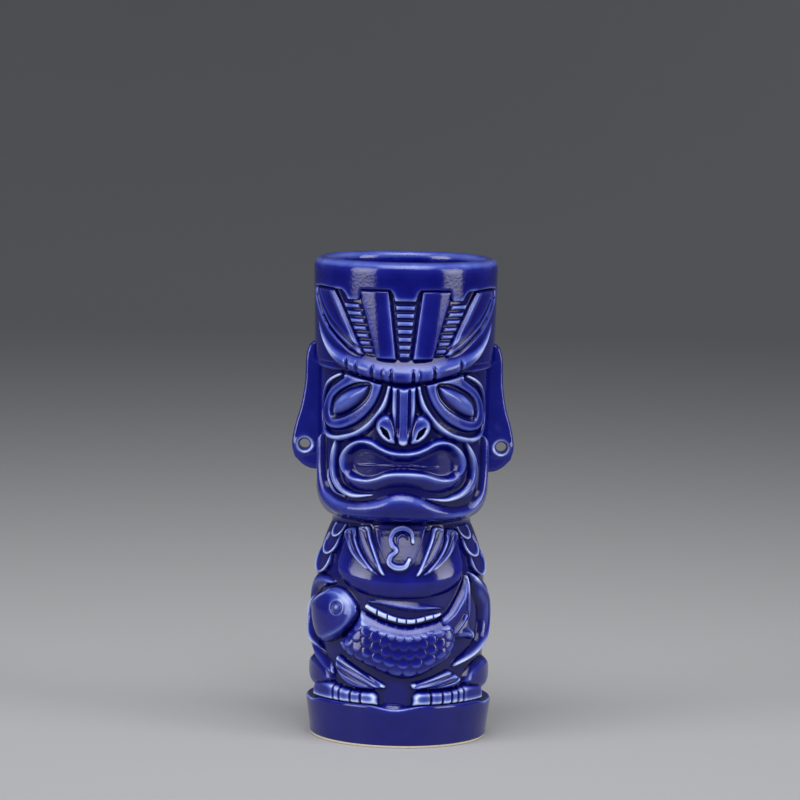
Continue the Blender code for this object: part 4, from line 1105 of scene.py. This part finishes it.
for piece in glazed:
    places = points_of(piece)
    u, z, radius = unrolled(places)
    height = radius - cast_wall(z)
    # thin is the glaze's thinness from its height over the local average; painted highlights and
    # painted shade are added to it below.
    thin = (height - looked_up(near_average, u, z)) / near_fall
    thin += (height - looked_up(far_average, u, z)) / far_fall
    if "ear" in piece.name:
        hole = np.hypot(np.abs(places[:, 0]) - ear_hole[0], places[:, 2] - ear_hole[1])
        thin = 0.08 + 0.35 * groove(hole - 2.6, 0.45)
    if piece is cup or piece is headdress:
        # Rolled rim: paler where glaze breaks over it, with a painted highlight of the overhead
        # light.
        thin = np.where(z > 163.0, 0.04 + 0.22 * groove(z - 166.9, 1.2), thin)
        thin = np.where((radius < cast_wall(z) - 2.0) & (z <= 165.0), 0.0, thin)
    if piece is plinth:
        lift = ledge_lift(u)
        edge = np.hypot(radius - 32.2, z - ledge_top - lift)
        # Plinth: a painted highlight along the ledge's front edge, partly glaze thinning, weaker
        # under the feet; darker on the inner ledge and the bead, partly pooled glaze, partly a
        # painted dark reflection.
        thin = (0.35 - 0.18 * lift) * groove(edge, 0.7) - 0.2 * groove(radius - 29.3, 0.8)
    if "jaw" in piece.name:
        # Jaw: a painted highlight along the top of the chin's front, partly glaze thinning; the
        # paleness is toned down towards the sides.
        thin_glaze_and_highlight_edge = groove(depth_in(u, z, jaw_loop) - 1.5, 1.1) * unit((z - 82.0) / 2.0)
        thin += 0.2 * thin_glaze_and_highlight_edge * jaw_front(u)
        thin -= 0.5 * np.maximum(thin, 0.0) * unit((np.abs(u) - 31.0) / 3.0)
    if "lips" in piece.name:
        thin = np.where(thin > 0.0, 0.65 * thin, thin)
    if "eye_lens" in piece.name:
        # A painted highlight over the middle of each lens, partly glaze thinning on its crown.
        thin += 0.16 * groove(np.hypot(np.abs(u) - 21.5, z - 121.2), 4.0)
    if "eyelid" in piece.name:
        # The lid's pale edges are toned down towards the temple.
        thin -= 0.55 * np.maximum(thin, 0.0) * unit((np.abs(u) - 26.0) / 8.0)
    if "fish_head" in piece.name:
        # A painted highlight on the upper right of the fish's head.
        thin += 0.16 * groove(np.hypot(u + 20.5, z - 51.0), 5.0)
    if "fish_body" in piece.name:
        # A painted highlight along the band under the fish's back, which faces the overhead light.
        thin += 0.16 * groove(follow(u, z, body_back)[0] - 2.2, 1.6)
    if "headband" in piece.name:
        # Headband: a painted highlight on the slope above the crest, painted shade below it, and
        # paler along the middle of its swept ends.
        distance, half, _, side = follow(u, z, band_line)
        out = distance / np.maximum(half, 0.3)
        sweep = unit((np.abs(u) - 22.0) / 6.0)
        thin += 0.16 * (1.0 - sweep) * groove(side * distance - 1.7, 1.8)
        thin -= 0.14 * (1.0 - sweep) * unit(-1.5 * side * out)
        thin += 0.20 * sweep * groove(out, 0.8) * (distance < half)
    thin = np.maximum(thin, most_pooled_on_lips if "lips" in piece.name else most_pooled)
    shade = piece.data.attributes.new("glaze", "FLOAT", "POINT")
    shade.data.foreach_set("value", unit(0.5 + thin).astype(np.float32))


# Studio. A plain pale sweep, a tall soft light at each side of the camera and
# one overhead, as a table-top photographer sets them for gloss.

deselect()
bpy.ops.mesh.primitive_plane_add(size=4.0, location=(0.0, 0.4, 0.0))
floor = bpy.context.object
floor.name = "floor"
bpy.ops.object.mode_set(mode="EDIT")
bpy.ops.mesh.select_mode(type="EDGE")
bpy.ops.mesh.select_all(action="DESELECT")
bpy.ops.object.mode_set(mode="OBJECT")
for edge in floor.data.edges:
    edge.select = all(floor.data.vertices[i].co.y > 1.9 for i in edge.vertices)
bpy.ops.object.mode_set(mode="EDIT")
bpy.ops.mesh.extrude_region_move(TRANSFORM_OT_translate={"value": (0.0, 0.3, 3.0)})
bpy.ops.object.mode_set(mode="OBJECT")
bend = floor.modifiers.new("sweep", "BEVEL")
bend.width = 0.8
bend.segments = 16
bpy.ops.object.modifier_apply(modifier=bend.name)
bpy.ops.object.shade_smooth()
paper = bpy.data.materials.new("sweep_paper")
paper.use_nodes = True
matt = paper.node_tree.nodes["Principled BSDF"]
matt.inputs["Base Color"].default_value = (0.40, 0.40, 0.41, 1.0)
matt.inputs["Roughness"].default_value = 0.7
floor.data.materials.append(paper)

light_aim, light_spread = Vector((0.0, 0.0, 0.10)), math.radians(75.0)
for name, spot, wide, tall, power in (
        ("left_softbox", (-1.05, -0.75, 0.30), 0.75, 1.3, 3.6),
        ("right_softbox", (1.10, -0.60, 0.30), 0.60, 1.3, 2.9),
        ("top_softbox", (0.0, -0.60, 1.15), 1.2, 0.9, 3.8)):
    bpy.ops.object.light_add(type="AREA", location=spot)
    lamp = bpy.context.object
    lamp.name = name
    lamp.data.shape = "RECTANGLE"
    lamp.data.size = wide
    lamp.data.size_y = tall
    lamp.data.energy = power
    lamp.data.spread = light_spread
    lamp.rotation_euler = (light_aim - Vector(spot)).to_track_quat("-Z", "Y").to_euler()

room = bpy.data.worlds.new("room")
room.use_nodes = True
fill = room.node_tree.nodes["Background"]
fill.inputs["Color"].default_value = (0.30, 0.31, 0.33, 1.0)
fill.inputs["Strength"].default_value = 0.6
bpy.context.scene.world = room

camera_spot, camera_target = Vector((-0.0013, -1.467, 0.272)), Vector((-0.0013, -0.031, 0.121))
camera_roll = math.radians(1.08)
bpy.ops.object.camera_add(location=camera_spot)
camera = bpy.context.object
camera.name = "camera"
camera.data.lens = 190.0
camera.data.sensor_width = 36.0
camera.data.clip_end = 20.0
look = (camera_target - camera_spot).to_track_quat("-Z", "Y").to_matrix().to_4x4()
camera.matrix_world = (Matrix.Translation(camera_spot) @ look
                       @ Matrix.Rotation(camera_roll, 4, "Z"))
bpy.context.scene.camera = camera
bpy.context.scene.view_settings.view_transform = "Standard"
